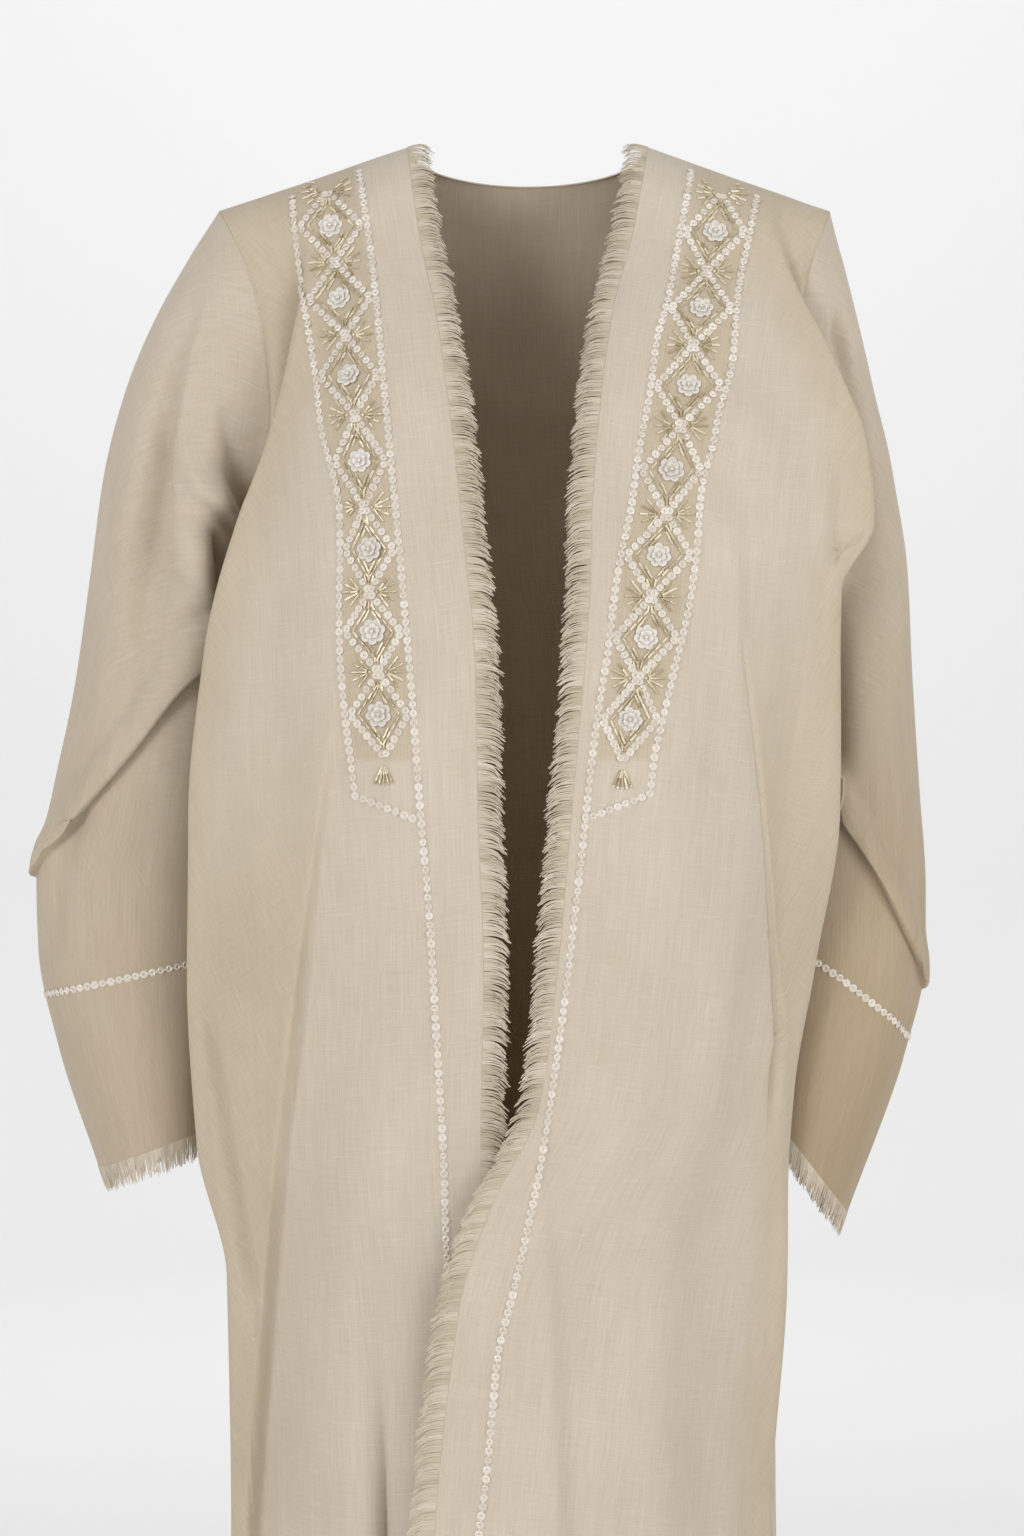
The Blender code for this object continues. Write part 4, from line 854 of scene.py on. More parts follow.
def thread_rings(line, away, normals, fray, chance):
    """The middles of the loose threads of a cut edge, ring by ring, with each one's normal and the
    number of its clump. They lie side by side where they leave the cloth, lean together in clumps
    and curl down towards their ends. The pairs of numbers are the ranges of chance, as shares of
    the thread's own measure or, for its lean and lift, of its length."""
    count, long, hang = fray
    along = lengths(line)
    at = (np.arange(count) + chance.uniform(-0.4, 0.4, count)) * along[-1] / count
    at = np.clip(at, 0, along[-1])
    clumps = int(along[-1] / CLUMP)
    middles = (np.arange(clumps) + chance.uniform(-0.35, 0.35, clumps)) * CLUMP
    own = np.abs(at[:, None] - middles[None, :]).argmin(axis=1)
    reach = long * (0.90 + 0.16 * chance.random(clumps))[own] * chance.uniform(0.86, 1.08, count)
    droop = hang * (0.80 + 0.4 * chance.random(clumps))[own] * chance.uniform(0.85, 1.15, count)
    lean = (chance.uniform(-0.01, 0.06, clumps))[own] + chance.normal(0, 0.035, count)
    stray = chance.random(count) < THREADS_STRAY
    lean[stray] += chance.uniform(-STRAY_LEAN, STRAY_LEAN, stray.sum())
    lift = chance.uniform(0.0, 0.05, clumps)[own] + chance.normal(0, 0.012, count)
    root, ray, normal = (read_curve(along, v, at) for v in (line, away, normals))
    ray, normal = unit(ray), unit(normal)
    side = unit(np.cross(normal, ray))
    side *= np.sign(side[:, 2:3] * -1 + 1e-9)
    ray = unit(ray - side * (ray * side).sum(axis=1, keepdims=True))
    rooted = THREAD_ROOTED * chance.uniform(0.4, 1.8, clumps)[own] * chance.uniform(0.6, 1.3, count)
    root = root - ray * rooted[:, None]
    pull = (middles[own] - at) * CLUMP_PULL
    heading = unit(read_curve(along, np.gradient(line, axis=0), at))
    rings = []
    for s in THREAD_SHARES:
        centre = root + ray * ((rooted + reach * s) * (1 - THREAD_SHORTER * droop * s**2))[:, None]
        centre = centre + DOWN * (droop * reach * s**3)[:, None]
        centre = centre + heading * (pull * s**1.5 + lean * reach * s**1.3)[:, None]
        centre = centre + normal * (lift * reach * s + THREAD_ON_TOP * (1 - s))[:, None]
        rings.append(centre)
    return np.array(rings), normal, own, clumps


def frayed_edge(name, line, away, normals, closed, fray, seed, material):
    """The loose weft threads of a cut edge, three-sided and flat. fray is their number, their length
    and how much they droop."""
    chance = np.random.default_rng(seed)
    if closed:
        line, away, normals = (np.concatenate([v, v[:1]]) for v in (line, away, normals))
    rings, normal, own, clumps = thread_rings(line, away, normals, fray, chance)
    steps, count = rings.shape[:2]
    tangent = unit(np.gradient(rings, axis=0))
    wide = unit(np.cross(tangent, normal[None]))
    tall = np.cross(wide, tangent)
    angles = np.radians([90, 210, 330])
    thick = THREAD_THICK * (1 - THREAD_TAPER * THREAD_SHARES)[:, None, None, None]
    corners = np.cos(angles)[None, None, :, None] * wide[:, :, None] + \
        np.sin(angles)[None, None, :, None] * tall[:, :, None] * THREAD_FLAT
    points = rings[:, :, None] + corners * thick
    number = np.arange(steps * count * 3).reshape(steps, count, 3)
    faces = []
    for k, n in ((0, 1), (1, 2), (2, 0)):
        quad = (number[:-1, :, k], number[1:, :, k], number[1:, :, n], number[:-1, :, n])
        faces += np.stack(quad, axis=-1).reshape(-1, 4).tolist()
    faces += number[0].tolist() + number[-1, :, ::-1].tolist()
    tone = chance.random(clumps)[own] * 0.5 + chance.random(count) * 0.5
    values = {"tone": tone[None, :, None], "reach": THREAD_SHARES[:, None, None]}
    values = {key: np.broadcast_to(value, number.shape) for key, value in values.items()}
    return made_piece(name, points, faces, values, material)


# -------- materials
# Slubs of the weave: their sizes across and along, in metres.
WARP, WEFT, YARN = (0.0008, 0.030), (0.022, 0.0008), (0.0009, 0.0009)
SLUBS = ((0.0011, 0.045), (0.035, 0.0011))
BROAD, CLOUD = (0.005, 0.12), (0.07, 0.11)
BIAS_ANGLE = math.radians(24)
# Relief at a border: full up to the first distance, gone from the second, and its height.
SEAM_GROOVE, HEM_STEP = (0.0002, 0.0022, -2.0), (0.0170, 0.0185, 1.4)
LIGHT_THROUGH = 0.30  # share of the light that passes a loose thread


def linear(colour):
    """An sRGB hex colour as linear red, green, blue and alpha."""
    parts = [int(colour[k:k + 2], 16) / 255 for k in (1, 3, 5)]
    return (*(p / 12.92 if p <= 0.04045 else ((p + 0.055) / 1.055) ** 2.4 for p in parts), 1.0)


def node(tree, kind, inputs=None, **settings):
    """Adds a node with its settings. inputs gives each socket a value or the socket it is fed by."""
    made = tree.nodes.new(kind)
    for key, value in settings.items():
        setattr(made, key, value)
    for key, value in (inputs or {}).items():
        if isinstance(value, bpy.types.NodeSocket):
            tree.links.new(value, made.inputs[key])
        else:
            made.inputs[key].default_value = value
    return made


def blank(name):
    material = bpy.data.materials.new(name)
    material.use_nodes = True
    material.node_tree.nodes.clear()
    return material, material.node_tree


def surfaced(material, shader):
    """The material, with the shader as its surface."""
    node(material.node_tree, "ShaderNodeOutputMaterial", {"Surface": shader.outputs[0]})
    return material


def value_of(tree, name):
    """One of the named values that a piece's points carry."""
    return node(tree, "ShaderNodeAttribute", attribute_name=name).outputs["Fac"]


def added(tree, first, second):
    return node(tree, "ShaderNodeMath", {0: first, 1: second}, operation="ADD").outputs[0]


def two_tone(tree, share, low, high):
    """A colour from low to high."""
    return node(tree, "ShaderNodeMix", {0: share, 6: linear(low), 7: linear(high)},
                data_type="RGBA").outputs[2]


def yarn_colour(tree, tone, low, high, shade, body, pale):
    """A colour from shade through body to pale, as the tone rises from low to high."""
    ramp = node(tree, "ShaderNodeValToRGB", {"Fac": tone})
    stops = ramp.color_ramp.elements
    stops[0].position, stops[0].color = low, linear(shade)
    stops[1].position, stops[1].color = high, linear(pale)
    stops.new(0.5).color = linear(body)
    return ramp.outputs[0]


def ranged(tree, value, near, far, low, high, kind="LINEAR"):
    """The value taken from near to far onto low to high."""
    return node(tree, "ShaderNodeMapRange", {"Value": value, "From Min": near, "From Max": far,
                                             "To Min": low, "To Max": high},
                interpolation_type=kind).outputs[0]


def streaks(tree, weave, wide, long, detail):
    """Noise drawn out along one thread direction: wide and long are a slub's sizes in metres."""
    scaled = node(tree, "ShaderNodeMapping", {"Vector": weave, "Scale": (1 / wide, 1 / long, 1.0)})
    return node(tree, "ShaderNodeTexNoise",
                {"Vector": scaled.outputs[0], "Scale": 1.0, "Detail": detail, "Roughness": 0.6}).outputs[0]


def weighed(tree, parts):
    """The sum of sockets, each less its middle value and times its weight."""
    total = None
    for socket, weight in parts:
        term = node(tree, "ShaderNodeMath", {0: socket, 1: 0.5}, operation="SUBTRACT").outputs[0]
        values = {0: term, 1: weight, 2: 0.0 if total is None else total}
        total = node(tree, "ShaderNodeMath", values, operation="MULTIPLY_ADD").outputs[0]
    return total


def woven(tree, weave):
    """Tone and relief of plain weave in uneven yarn, with a few long pale slubs both ways."""
    warp, weft = streaks(tree, weave, *WARP, 2.0), streaks(tree, weave, *WEFT, 2.0)
    yarn = streaks(tree, weave, *YARN, 1.0)
    slubs = [ranged(tree, streaks(tree, weave, *size, 0.0), 0.70, 0.82, 0.5, 1.5) for size in SLUBS]
    tone = weighed(tree, [(warp, 0.50), (weft, 0.40), (yarn, 0.34), (slubs[0], 0.16), (slubs[1], 0.13)])
    return tone, weighed(tree, [(warp, 1.0), (weft, 0.8), (yarn, 0.6)])


def slub_linen(name, shade, body, pale, painted_shade_tint):
    """Plain-woven linen of uneven yarn, matt and thin enough to glow where light passes. Where the
    cloth is pulled on the bias the grain runs aslant, and where the value free rises its colour is
    multiplied by a darker, warmer one: painted shade.
    The yarns are 0.5 mm apart in the real cloth and drawn 0.8 mm apart, so that they show."""
    material, tree = blank(name)
    weave = node(tree, "ShaderNodeUVMap", uv_map="weave").outputs[0]
    aslant = node(tree, "ShaderNodeVectorRotate", {"Vector": weave, "Angle": BIAS_ANGLE},
                  rotation_type="Z_AXIS").outputs[0]
    bias = value_of(tree, "bias")
    tone, relief = (node(tree, "ShaderNodeMix", {0: bias, 2: straight_on, 3: slanting}).outputs[0]
                    for straight_on, slanting in zip(woven(tree, weave), woven(tree, aslant)))
    broad, cloud = streaks(tree, weave, *BROAD, 2.0), streaks(tree, weave, *CLOUD, 2.0)
    tone = added(tree, added(tree, tone, 0.5), weighed(tree, [(broad, 0.20), (cloud, 0.34)]))
    colour = yarn_colour(tree, tone, 0.12, 0.88, shade, body, pale)
    # Painted shade: the yarn colour times a darker, warmer colour where the value free rises
    painted_shade_colour = node(tree, "ShaderNodeMix", {0: value_of(tree, "free"), 6: colour, 7: linear(painted_shade_tint)},
                  data_type="RGBA", blend_type="MULTIPLY").outputs[2]
    groove = ranged(tree, value_of(tree, "sewn"), *SEAM_GROOVE, 0.0, "SMOOTHSTEP")
    turned = ranged(tree, value_of(tree, "hem"), *HEM_STEP, 0.0, "SMOOTHSTEP")
    total = added(tree, added(tree, relief, groove), turned)
    bump = node(tree, "ShaderNodeBump", {"Height": total, "Strength": 0.34, "Distance": 0.0005})
    return surfaced(material, node(tree, "ShaderNodeBsdfPrincipled", {
        "Base Color": painted_shade_colour, "Roughness": 0.88, "Specular IOR Level": 0.25,
        "Sheen Weight": 0.12, "Sheen Roughness": 0.5, "Normal": bump.outputs[0],
        "Subsurface Weight": 0.25, "Subsurface Scale": 0.0022, "Subsurface Radius": (1.0, 0.85, 0.62)}))


def frayed_linen(name, shade, body, pale):
    """The same linen yarn pulled loose: single matt threads that light passes, drawn paler than the cloth as
    painted light that makes up for the shade among thin threads.
    """
    material, tree = blank(name)
    colour = yarn_colour(tree, value_of(tree, "tone"), 0.08, 0.92, shade, body, pale)
    shader = node(tree, "ShaderNodeBsdfPrincipled", {
        "Base Color": colour, "Roughness": 0.85, "Specular IOR Level": 0.25,
        "Sheen Weight": 0.15, "Sheen Roughness": 0.5})
    through = node(tree, "ShaderNodeBsdfTranslucent", {"Color": colour})
    return surfaced(material, node(tree, "ShaderNodeMixShader", {
        0: LIGHT_THROUGH, 1: shader.outputs[0], 2: through.outputs[0]}))


def beadwork(name, low, high, roughness, coat, metallic=0.0, milky=0.0):
    """A bead's own finish, from low to high from one bead to the next. milky lets light soak in."""
    material, tree = blank(name)
    return surfaced(material, node(tree, "ShaderNodeBsdfPrincipled", {
        "Base Color": two_tone(tree, value_of(tree, "tone"), low, high),
        "Roughness": roughness, "Coat Weight": coat, "Coat Roughness": 0.08, "Metallic": metallic,
        "Subsurface Weight": milky, "Subsurface Scale": 0.0012, "Subsurface Radius": (1.0, 0.95, 0.9)}))


# -------- beads, modelled once each
SEQUIN = 0.00245  # radius of a sequin
SEQUIN_PITCH = 0.0054  # along the borders and the long chains
LATTICE_PITCH = 0.0048  # along the diamonds
SLEEVE_PITCH = 0.0052  # round the sleeves
SEED, SEED_FLAT = 0.00095, 0.78  # radius of a seed bead, and how flat it is
BUGLE_LONG, BUGLE_THICK = 0.0048, 0.00068  # length and radius of a bugle bead
BUGLE_SIDES, BUGLE_RIM, BUGLE_BORE = 6, 0.45, 0.0001  # its rim as a share, and the depth of its bore
CUP_DEEPER = 1.6  # how far a cup's middle lies below its rim, as a share of its depth
# A cup's number of sides, its hole and its rim as shares of its radius, its depth and its wall.
SEQUIN_SHAPE, PETAL_SHAPE = (9, 0.24, 0.34, 0.0005, 0.00025), (9, 0.10, 0.30, 0.0005, 0.00025)
PETAL, PETAL_LONGER = 0.0029, 1.12  # radius of a petal's cup, and how far it is drawn out
HEART, HEART_UP = 0.0010, 0.0022  # radius of the bead in a flower's middle, and its height
# A flower's tiers: how many petals, how far out and how high they sit, their tilt and their size.
TIERS = ((7, 0.0045, 0.0004, 0.14, 1.0), (5, 0.0021, 0.0012, 0.36, 0.78))


def out_of_edit():
    if bpy.context.mode != "OBJECT":
        bpy.ops.object.mode_set(mode="OBJECT")


def fresh():
    """Selects nothing, so that the next primitive stands alone."""
    out_of_edit()
    bpy.ops.object.select_all(action="DESELECT")


def taken():
    """The model just made, as points and faces. Its object is removed. The faces are sorted,
    because Blender lists those of a sphere in an order that differs from one run to the next."""
    out_of_edit()
    made = bpy.context.object
    points = np.array([v.co[:] for v in made.data.vertices])
    faces = sorted(tuple(f.vertices) for f in made.data.polygons)
    bpy.data.objects.remove(made)
    return points, faces


def cup(radius, sides, hole, rim, depth, wall):
    """A thin round cup with a hole in its middle: a sequin, or a petal before it is drawn out."""
    fresh()
    bpy.ops.mesh.primitive_circle_add(vertices=sides, radius=radius, fill_type="NGON")
    bpy.ops.object.mode_set(mode="EDIT")
    bpy.ops.mesh.inset(thickness=radius * rim)
    bpy.ops.transform.translate(value=(0, 0, depth))
    bpy.ops.mesh.inset(thickness=radius * (1 - rim - hole))
    bpy.ops.transform.translate(value=(0, 0, -depth * CUP_DEEPER))
    bpy.ops.mesh.delete(type="ONLY_FACE")
    bpy.ops.object.mode_set(mode="OBJECT")
    thick = bpy.context.object.modifiers.new("wall", "SOLIDIFY")
    thick.thickness, thick.offset = wall, 0.0
    bpy.ops.object.modifier_apply(modifier="wall")
    return taken()


def seed_bead(radius):
    fresh()
    bpy.ops.mesh.primitive_uv_sphere_add(segments=7, ring_count=5, radius=radius)
    bpy.ops.object.mode_set(mode="EDIT")
    bpy.ops.mesh.select_all(action="SELECT")
    bpy.ops.transform.resize(value=(1.0, 1.0, SEED_FLAT))
    return taken()


def bugle_bead():
    """A short cut glass tube that lies along x."""
    fresh()
    bpy.ops.mesh.primitive_cylinder_add(vertices=BUGLE_SIDES, radius=BUGLE_THICK, depth=BUGLE_LONG,
                                        rotation=(0, math.pi / 2, 0))
    bpy.ops.object.transform_apply(location=False, rotation=True, scale=False)
    bpy.ops.object.mode_set(mode="EDIT")
    bpy.ops.mesh.select_all(action="DESELECT")
    bpy.ops.object.mode_set(mode="OBJECT")
    for face in bpy.context.object.data.polygons:
        face.select = len(face.vertices) == BUGLE_SIDES
    bpy.ops.object.mode_set(mode="EDIT")
    bpy.ops.mesh.inset(thickness=BUGLE_THICK * BUGLE_RIM, depth=-BUGLE_BORE, use_individual=True)
    return taken()


def gathered(parts):
    """Several models as one. Each is a pair of points and faces."""
    faces, start = [], 0
    for points, own in parts:
        faces += [tuple(i + start for i in face) for face in own]
        start += len(points)
    return np.concatenate([points for points, _ in parts]), faces


def placed(model, frames):
    """Copies of a model, each at its place, heading, normal and size, as points and faces."""
    points, faces = model
    copies = []
    for at, heading, normal, size in frames:
        normal = unit(normal)
        x_axis = unit(heading - normal * float(heading @ normal))
        axes = np.stack([x_axis, np.cross(normal, x_axis), normal])
        copies.append((at + (points * size) @ axes, faces))
    return gathered(copies)


def flower_model():
    """A rosette of drawn-out cup sequins in two tiers, with a bead in the middle."""
    points, faces = cup(PETAL, *PETAL_SHAPE)
    petal = (points * np.array([PETAL_LONGER, 1.0, 1.0]), faces)
    parts = []
    for tier, (count, radius, lift, tilt, size) in enumerate(TIERS):
        for k in range(count):
            turn = 2 * math.pi * (k + 0.5 * tier) / count
            ray = np.array([math.cos(turn), math.sin(turn), 0.0])
            at, heading, normal = ray * radius + UP * lift, unit(ray + UP * tilt), unit(UP - ray * tilt)
            parts.append(placed(petal, [(at, heading, normal, size)]))
    parts.append(placed(seed_bead(HEART), [(UP * HEART_UP, np.array([1.0, 0.0, 0.0]), UP, 1.0)]))
    return gathered(parts)


def joined(kind, side, groups, material):
    """One piece from many placed copies. groups pairs each model with its list of frames."""
    chance = np.random.default_rng(TONE_SEEDS[kind] + side)
    groups = [(model, frames) for model, frames in groups if frames]
    points, faces = gathered([placed(model, frames) for model, frames in groups])
    tones = [np.repeat(chance.random(len(frames)), len(model[0])) for model, frames in groups]
    name = kind + "_" + WORDS[side]
    piece = made_piece(name, points, faces, {"tone": np.concatenate(tones)}, material)
    choose(piece)
    bpy.ops.object.shade_smooth_by_angle(angle=SMOOTH_BEADS)
    return piece


# -------- where the beads lie
# Places on the fronts as (out, drop). INNER is the chain beside the cut edge, which runs on to
# the hem; OUTER is the band's other border; CROSSINGS are the lattice's, in the band's middle.
INNER = {
    RIGHT: [(0.1030, 0.018), (0.0953, 0.0675), (0.0917, 0.0965), (0.0848, 0.1651), (0.0753, 0.2610),
            (0.0680, 0.3433), (0.0627, 0.4145), (0.0586, 0.4600), (0.0539, 0.5356), (0.0498, 0.6055),
            (0.0480, 0.6520), (0.0452, 0.7600), (0.0430, 0.9000), (0.0400, 1.1000), (0.0365, 1.3570)],
    LEFT: [(0.1000, 0.018), (0.0899, 0.0712), (0.0838, 0.1027), (0.0774, 0.1248), (0.0722, 0.1607),
           (0.0653, 0.1960), (0.0603, 0.2308), (0.0537, 0.2612), (0.0495, 0.2894), (0.0465, 0.3152),
           (0.0418, 0.3439), (0.0376, 0.3743), (0.0335, 0.4104), (0.0306, 0.4389), (0.0282, 0.4587),
           (0.0206, 0.5220), (0.0154, 0.5597), (0.0078, 0.6090), (-0.0008, 0.6524), (-0.0090, 0.6882),
           (-0.0171, 0.7201), (-0.0212, 0.7594), (-0.0258, 0.8051), (-0.0287, 0.8265),
           (-0.0325, 0.9000), (-0.0360, 1.1000), (-0.0390, 1.3570)],
}
OUTER = {
    RIGHT: [(0.1440, 0.034), (0.1400, 0.0700), (0.1357, 0.1000), (0.1309, 0.1254), (0.1261, 0.1555),
            (0.1225, 0.1839), (0.1166, 0.2050), (0.1120, 0.2250), (0.1108, 0.2500), (0.1112, 0.2867),
            (0.1105, 0.3191), (0.1075, 0.3531), (0.1039, 0.3807), (0.1016, 0.3994)],
    LEFT: [(0.1400, 0.034), (0.1330, 0.0650), (0.1268, 0.0939), (0.1201, 0.1486), (0.1131, 0.1719),
           (0.1093, 0.1913), (0.1030, 0.2150), (0.0991, 0.2549), (0.0942, 0.2891), (0.0876, 0.3168),
           (0.0793, 0.3514), (0.0740, 0.3742), (0.0710, 0.3982)],
}
CROSSINGS = {
    RIGHT: [(0.1225, 0.0310), (0.1165, 0.0775), (0.1088, 0.1243), (0.1026, 0.1739), (0.0967, 0.2294),
            (0.0935, 0.2798), (0.0880, 0.3268), (0.0844, 0.3766)],
    LEFT: [(0.1180, 0.0330), (0.1075, 0.0840), (0.0985, 0.1310), (0.0905, 0.1805), (0.0815, 0.2338),
           (0.0722, 0.2825), (0.0640, 0.3306), (0.0548, 0.3790)],
}
BORDER_CLEAR = 0.0030  # the lattice turns back this far short of a border
LATTICE_LIFT = 0.0003  # sequins lie this far over the cloth
SEED_LIFT = SEED * 0.6  # and the middle of a seed bead this far
BEAD_TURN = 0.3  # how far a bead turns on its thread
# Each of these starts the random draws of one kind of bead.
BAND_SEED, CHAIN_SEED = 31, 71
TONE_SEEDS = {"sequins": 41, "flowers": 51, "bugles": 61, "sleeve_chain": 81}
BAND_SLANT = 0.0150  # the band's slanting foot ends this far below its outer border
# Bugle beads that follow a diamond's sides round its flower: how far along a side and how far in.
RING = ((0.28, 0.0040), (0.46, 0.0040), (0.64, 0.0040), (0.82, 0.0040), (0.40, 0.0058), (0.52, 0.0062))
# How far the rays of a diamond's tip, of a fan and of the tassel lean, in radians.
TIP_LEANS = (-0.26, 0.0, 0.26)
FAN_LEANS = (-0.92, -0.46, 0.0, 0.46, 0.92)
TASSEL_LEANS = (-0.44, -0.22, 0.0, 0.22, 0.44)
TIP_REACH = 0.0080  # the rays in a diamond's tips, from the crossing
FAN_ROOT, FAN_ROWS = 0.0048, (0.0040, 0.0088)  # the fans beside a crossing
TASSEL_DROP, TASSEL_ROWS, TASSEL_END = 0.0036, (0.0044, 0.0090), 0.0122
CHAIN_STATION = {RIGHT: (9.45, 0.0), LEFT: (9.5, 0.3)}  # a sleeve's chain: station and slant


def cloth_tree(piece):
    mesh = piece.data
    return BVHTree.FromPolygons([v.co[:] for v in mesh.vertices], [p.vertices[:] for p in mesh.polygons])


def on_front(tree, side, out, drop):
    """The place on a front's outer face, seen from straight ahead, and its normal."""
    at, normal, _, _ = tree.ray_cast(Vector((side * out, -1.0, -drop)), Vector((0.0, 1.0, 0.0)))
    if at is None:
        return None
    return np.array(at), np.array(normal if normal.y < 0 else -normal)


def resting(tree, side, middle, lift, heading):
    """The frame of a bead that rests on the cloth at (out, drop), or none where there is no cloth."""
    found = on_front(tree, side, *middle)
    return [] if found is None else [(found[0] + found[1] * lift, heading, found[1])]


def chain(tree, side, corners):
    """Frames at even steps along a line that is laid on the cloth through its corners."""
    _, line = thread(np.array(corners), per_segment=60)
    found = [on_front(tree, side, out, drop) for out, drop in line]
    points, normals = (np.array([f[k] for f in found if f is not None]) for k in (0, 1))
    along = lengths(points)
    count = max(int(round(along[-1] / SEQUIN_PITCH)), 1)
    at = np.linspace(0, along[-1], count + 1)
    place_at = read_curve(along, points, at)
    normal_at = unit(read_curve(along, normals, at))
    heading = unit(read_curve(along, np.gradient(points, axis=0), at))
    return [(p + n * LATTICE_LIFT, h, n) for p, h, n in zip(place_at, heading, normal_at)]


def between(frames):
    """Frames midway between neighbours, for the small beads that hold a chain together."""
    return [((a[0] + b[0]) / 2, a[1], a[2]) for a, b in zip(frames, frames[1:])]


def sized(frames, chance, low=0.92, high=1.08, tilt=0.10):
    """Frames with each bead's own size and a slight tilt, as sewn by hand."""
    out = []
    for at, heading, normal in frames:
        own = normal + chance.normal(0, tilt, 3)
        turned = heading + chance.normal(0, BEAD_TURN, 3)
        out.append((at, turned, own, chance.uniform(low, high)))
    return out


def strung(frames, links, chance):
    """Sequins at the frames and the seed beads that link them, as groups for one piece."""
    return [(cup(SEQUIN, *SEQUIN_SHAPE), sized(frames, chance)),
            (seed_bead(SEED), sized(links, chance, low=0.8, high=1.0))]


def straight(tree, side, start, stop):
    """Frames along a straight side of a diamond, both ends left free for the next run."""
    start, stop = np.array(start), np.array(stop)
    count = max(int(round(float(np.linalg.norm(stop - start)) / LATTICE_PITCH)), 2)
    heading = unit(np.array([side * (stop - start)[0], 0.0, -(stop - start)[1]]))
    frames = []
    for share in (np.arange(count) + 0.5) / count:
        frames += resting(tree, side, start + (stop - start) * share, LATTICE_LIFT, heading)
    return frames


def rod(tree, side, middle, angle):
    """A bugle bead's frame: its middle as (out, drop) and its angle from the drop's direction."""
    heading = np.array([side * math.sin(angle), 0.0, -math.cos(angle)])
    return resting(tree, side, middle, BUGLE_THICK, heading)


def fan(tree, side, root, toward, leans, rows):
    """Bugle beads in rays from a root: toward is the middle ray's angle, leans are the rays' own
    angles from it, rows are the distances of the beads' middles."""
    frames = []
    for lean in leans:
        ray = np.array([math.sin(toward + lean), math.cos(toward + lean)])
        for reach in rows:
            frames += rod(tree, side, np.array(root) + ray * reach, toward + lean)
    return frames


def stud(tree, side, middle):
    """A seed bead's frame at (out, drop)."""
    return resting(tree, side, middle, SEED_LIFT, DOWN)


def read_at(table, drop):
    return float(np.interp(drop, [r[1] for r in table], [r[0] for r in table]))


def diamond(tree, side, top, low):
    """One diamond between two crossings: frames of its sides, its flower and its bugle beads."""
    middle = (top[1] + low[1]) / 2
    near = np.array([read_at(INNER[side], middle) + BORDER_CLEAR, middle])
    far = np.array([read_at(OUTER[side], middle) - BORDER_CLEAR, middle])
    centre = (near + far) / 2
    lattice, rods = [], []
    for corner in (near, far):
        lattice += straight(tree, side, top, corner) + straight(tree, side, corner, low)
        for end in (top, low):
            run = corner - np.array(end)
            inward = unit(np.array([-run[1], run[0]]))
            inward *= np.sign(inward @ (centre - corner))
            for share, clear in RING:
                spot = np.array(end) + run * share + inward * clear
                rods += rod(tree, side, spot, math.atan2(run[0], run[1]))
    flower = resting(tree, side, centre, LATTICE_LIFT, DOWN)
    for end, toward in ((top, 0.0), (low, math.pi)):
        rods += fan(tree, side, end, toward, TIP_LEANS, (TIP_REACH,))
    return lattice, flower, rods


def sprays(tree, side, crossing):
    """The fans on both sides of a crossing: frames of their bugle beads and of their roots' seeds."""
    rods, seeds = [], []
    for sign, border in ((-1, INNER[side]), (1, OUTER[side])):
        root = (crossing[0] + sign * FAN_ROOT, crossing[1])
        room = abs(read_at(border, root[1]) - root[0]) - SEQUIN
        second = min(FAN_ROWS[1], room - BUGLE_LONG / 2)
        rows = (FAN_ROWS[0], second) if second > FAN_ROWS[0] + BUGLE_LONG / 2 else FAN_ROWS[:1]
        rods += fan(tree, side, root, sign * math.pi / 2, FAN_LEANS, rows)
        seeds += stud(tree, side, root)
    return rods, seeds


def tassel(tree, side, crossing):
    """The rays below the last crossing, each with a seed at its end."""
    root = np.array([crossing[0], crossing[1] + TASSEL_DROP])
    rods, seeds = [], []
    for lean in TASSEL_LEANS:
        rods += fan(tree, side, root, 0.0, (lean,), TASSEL_ROWS)
        seeds += stud(tree, side, root + np.array([math.sin(lean), math.cos(lean)]) * TASSEL_END)
    return rods, seeds


def embroider(side, cloth, pearl, white, gold):
    """Sews one front's band and chain: borders, lattice, flowers, bugle beads and seeds."""
    tree = cloth_tree(cloth)
    chance = np.random.default_rng(BAND_SEED + side)
    inner, outer, crossings = INNER[side], OUTER[side], CROSSINGS[side]
    foot = outer[-1][1] + BAND_SLANT
    runs = [chain(tree, side, inner), chain(tree, side, outer),
            chain(tree, side, [outer[-1], (read_at(inner, foot), foot)])[1:-1]]
    lattice, flowers, rods, seeds = [], [], [], []
    for top, low in zip(crossings, crossings[1:]):
        found = diamond(tree, side, top, low)
        lattice += found[0]
        flowers += found[1]
        rods += found[2]
    knots = [sprays(tree, side, crossing) for crossing in crossings[:-1]]
    for more_rods, more_seeds in [*knots, tassel(tree, side, crossings[-1])]:
        rods += more_rods
        seeds += more_seeds
    links = [link for run in runs for link in between(run)]
    sequins = strung(sum(runs, []) + lattice, links, chance)
    flowers = [(flower_model(), sized(flowers, chance, low=0.96, high=1.04, tilt=0.04))]
    rods = [(at, heading, normal, chance.uniform(0.85, 1.1)) for at, heading, normal in rods]
    bugles = [(bugle_bead(), rods), (seed_bead(SEED), sized(seeds, chance))]
    kinds = (("sequins", sequins, pearl), ("flowers", flowers, white), ("bugles", bugles, gold))
    return [joined(kind, side, groups, material) for kind, groups, material in kinds]


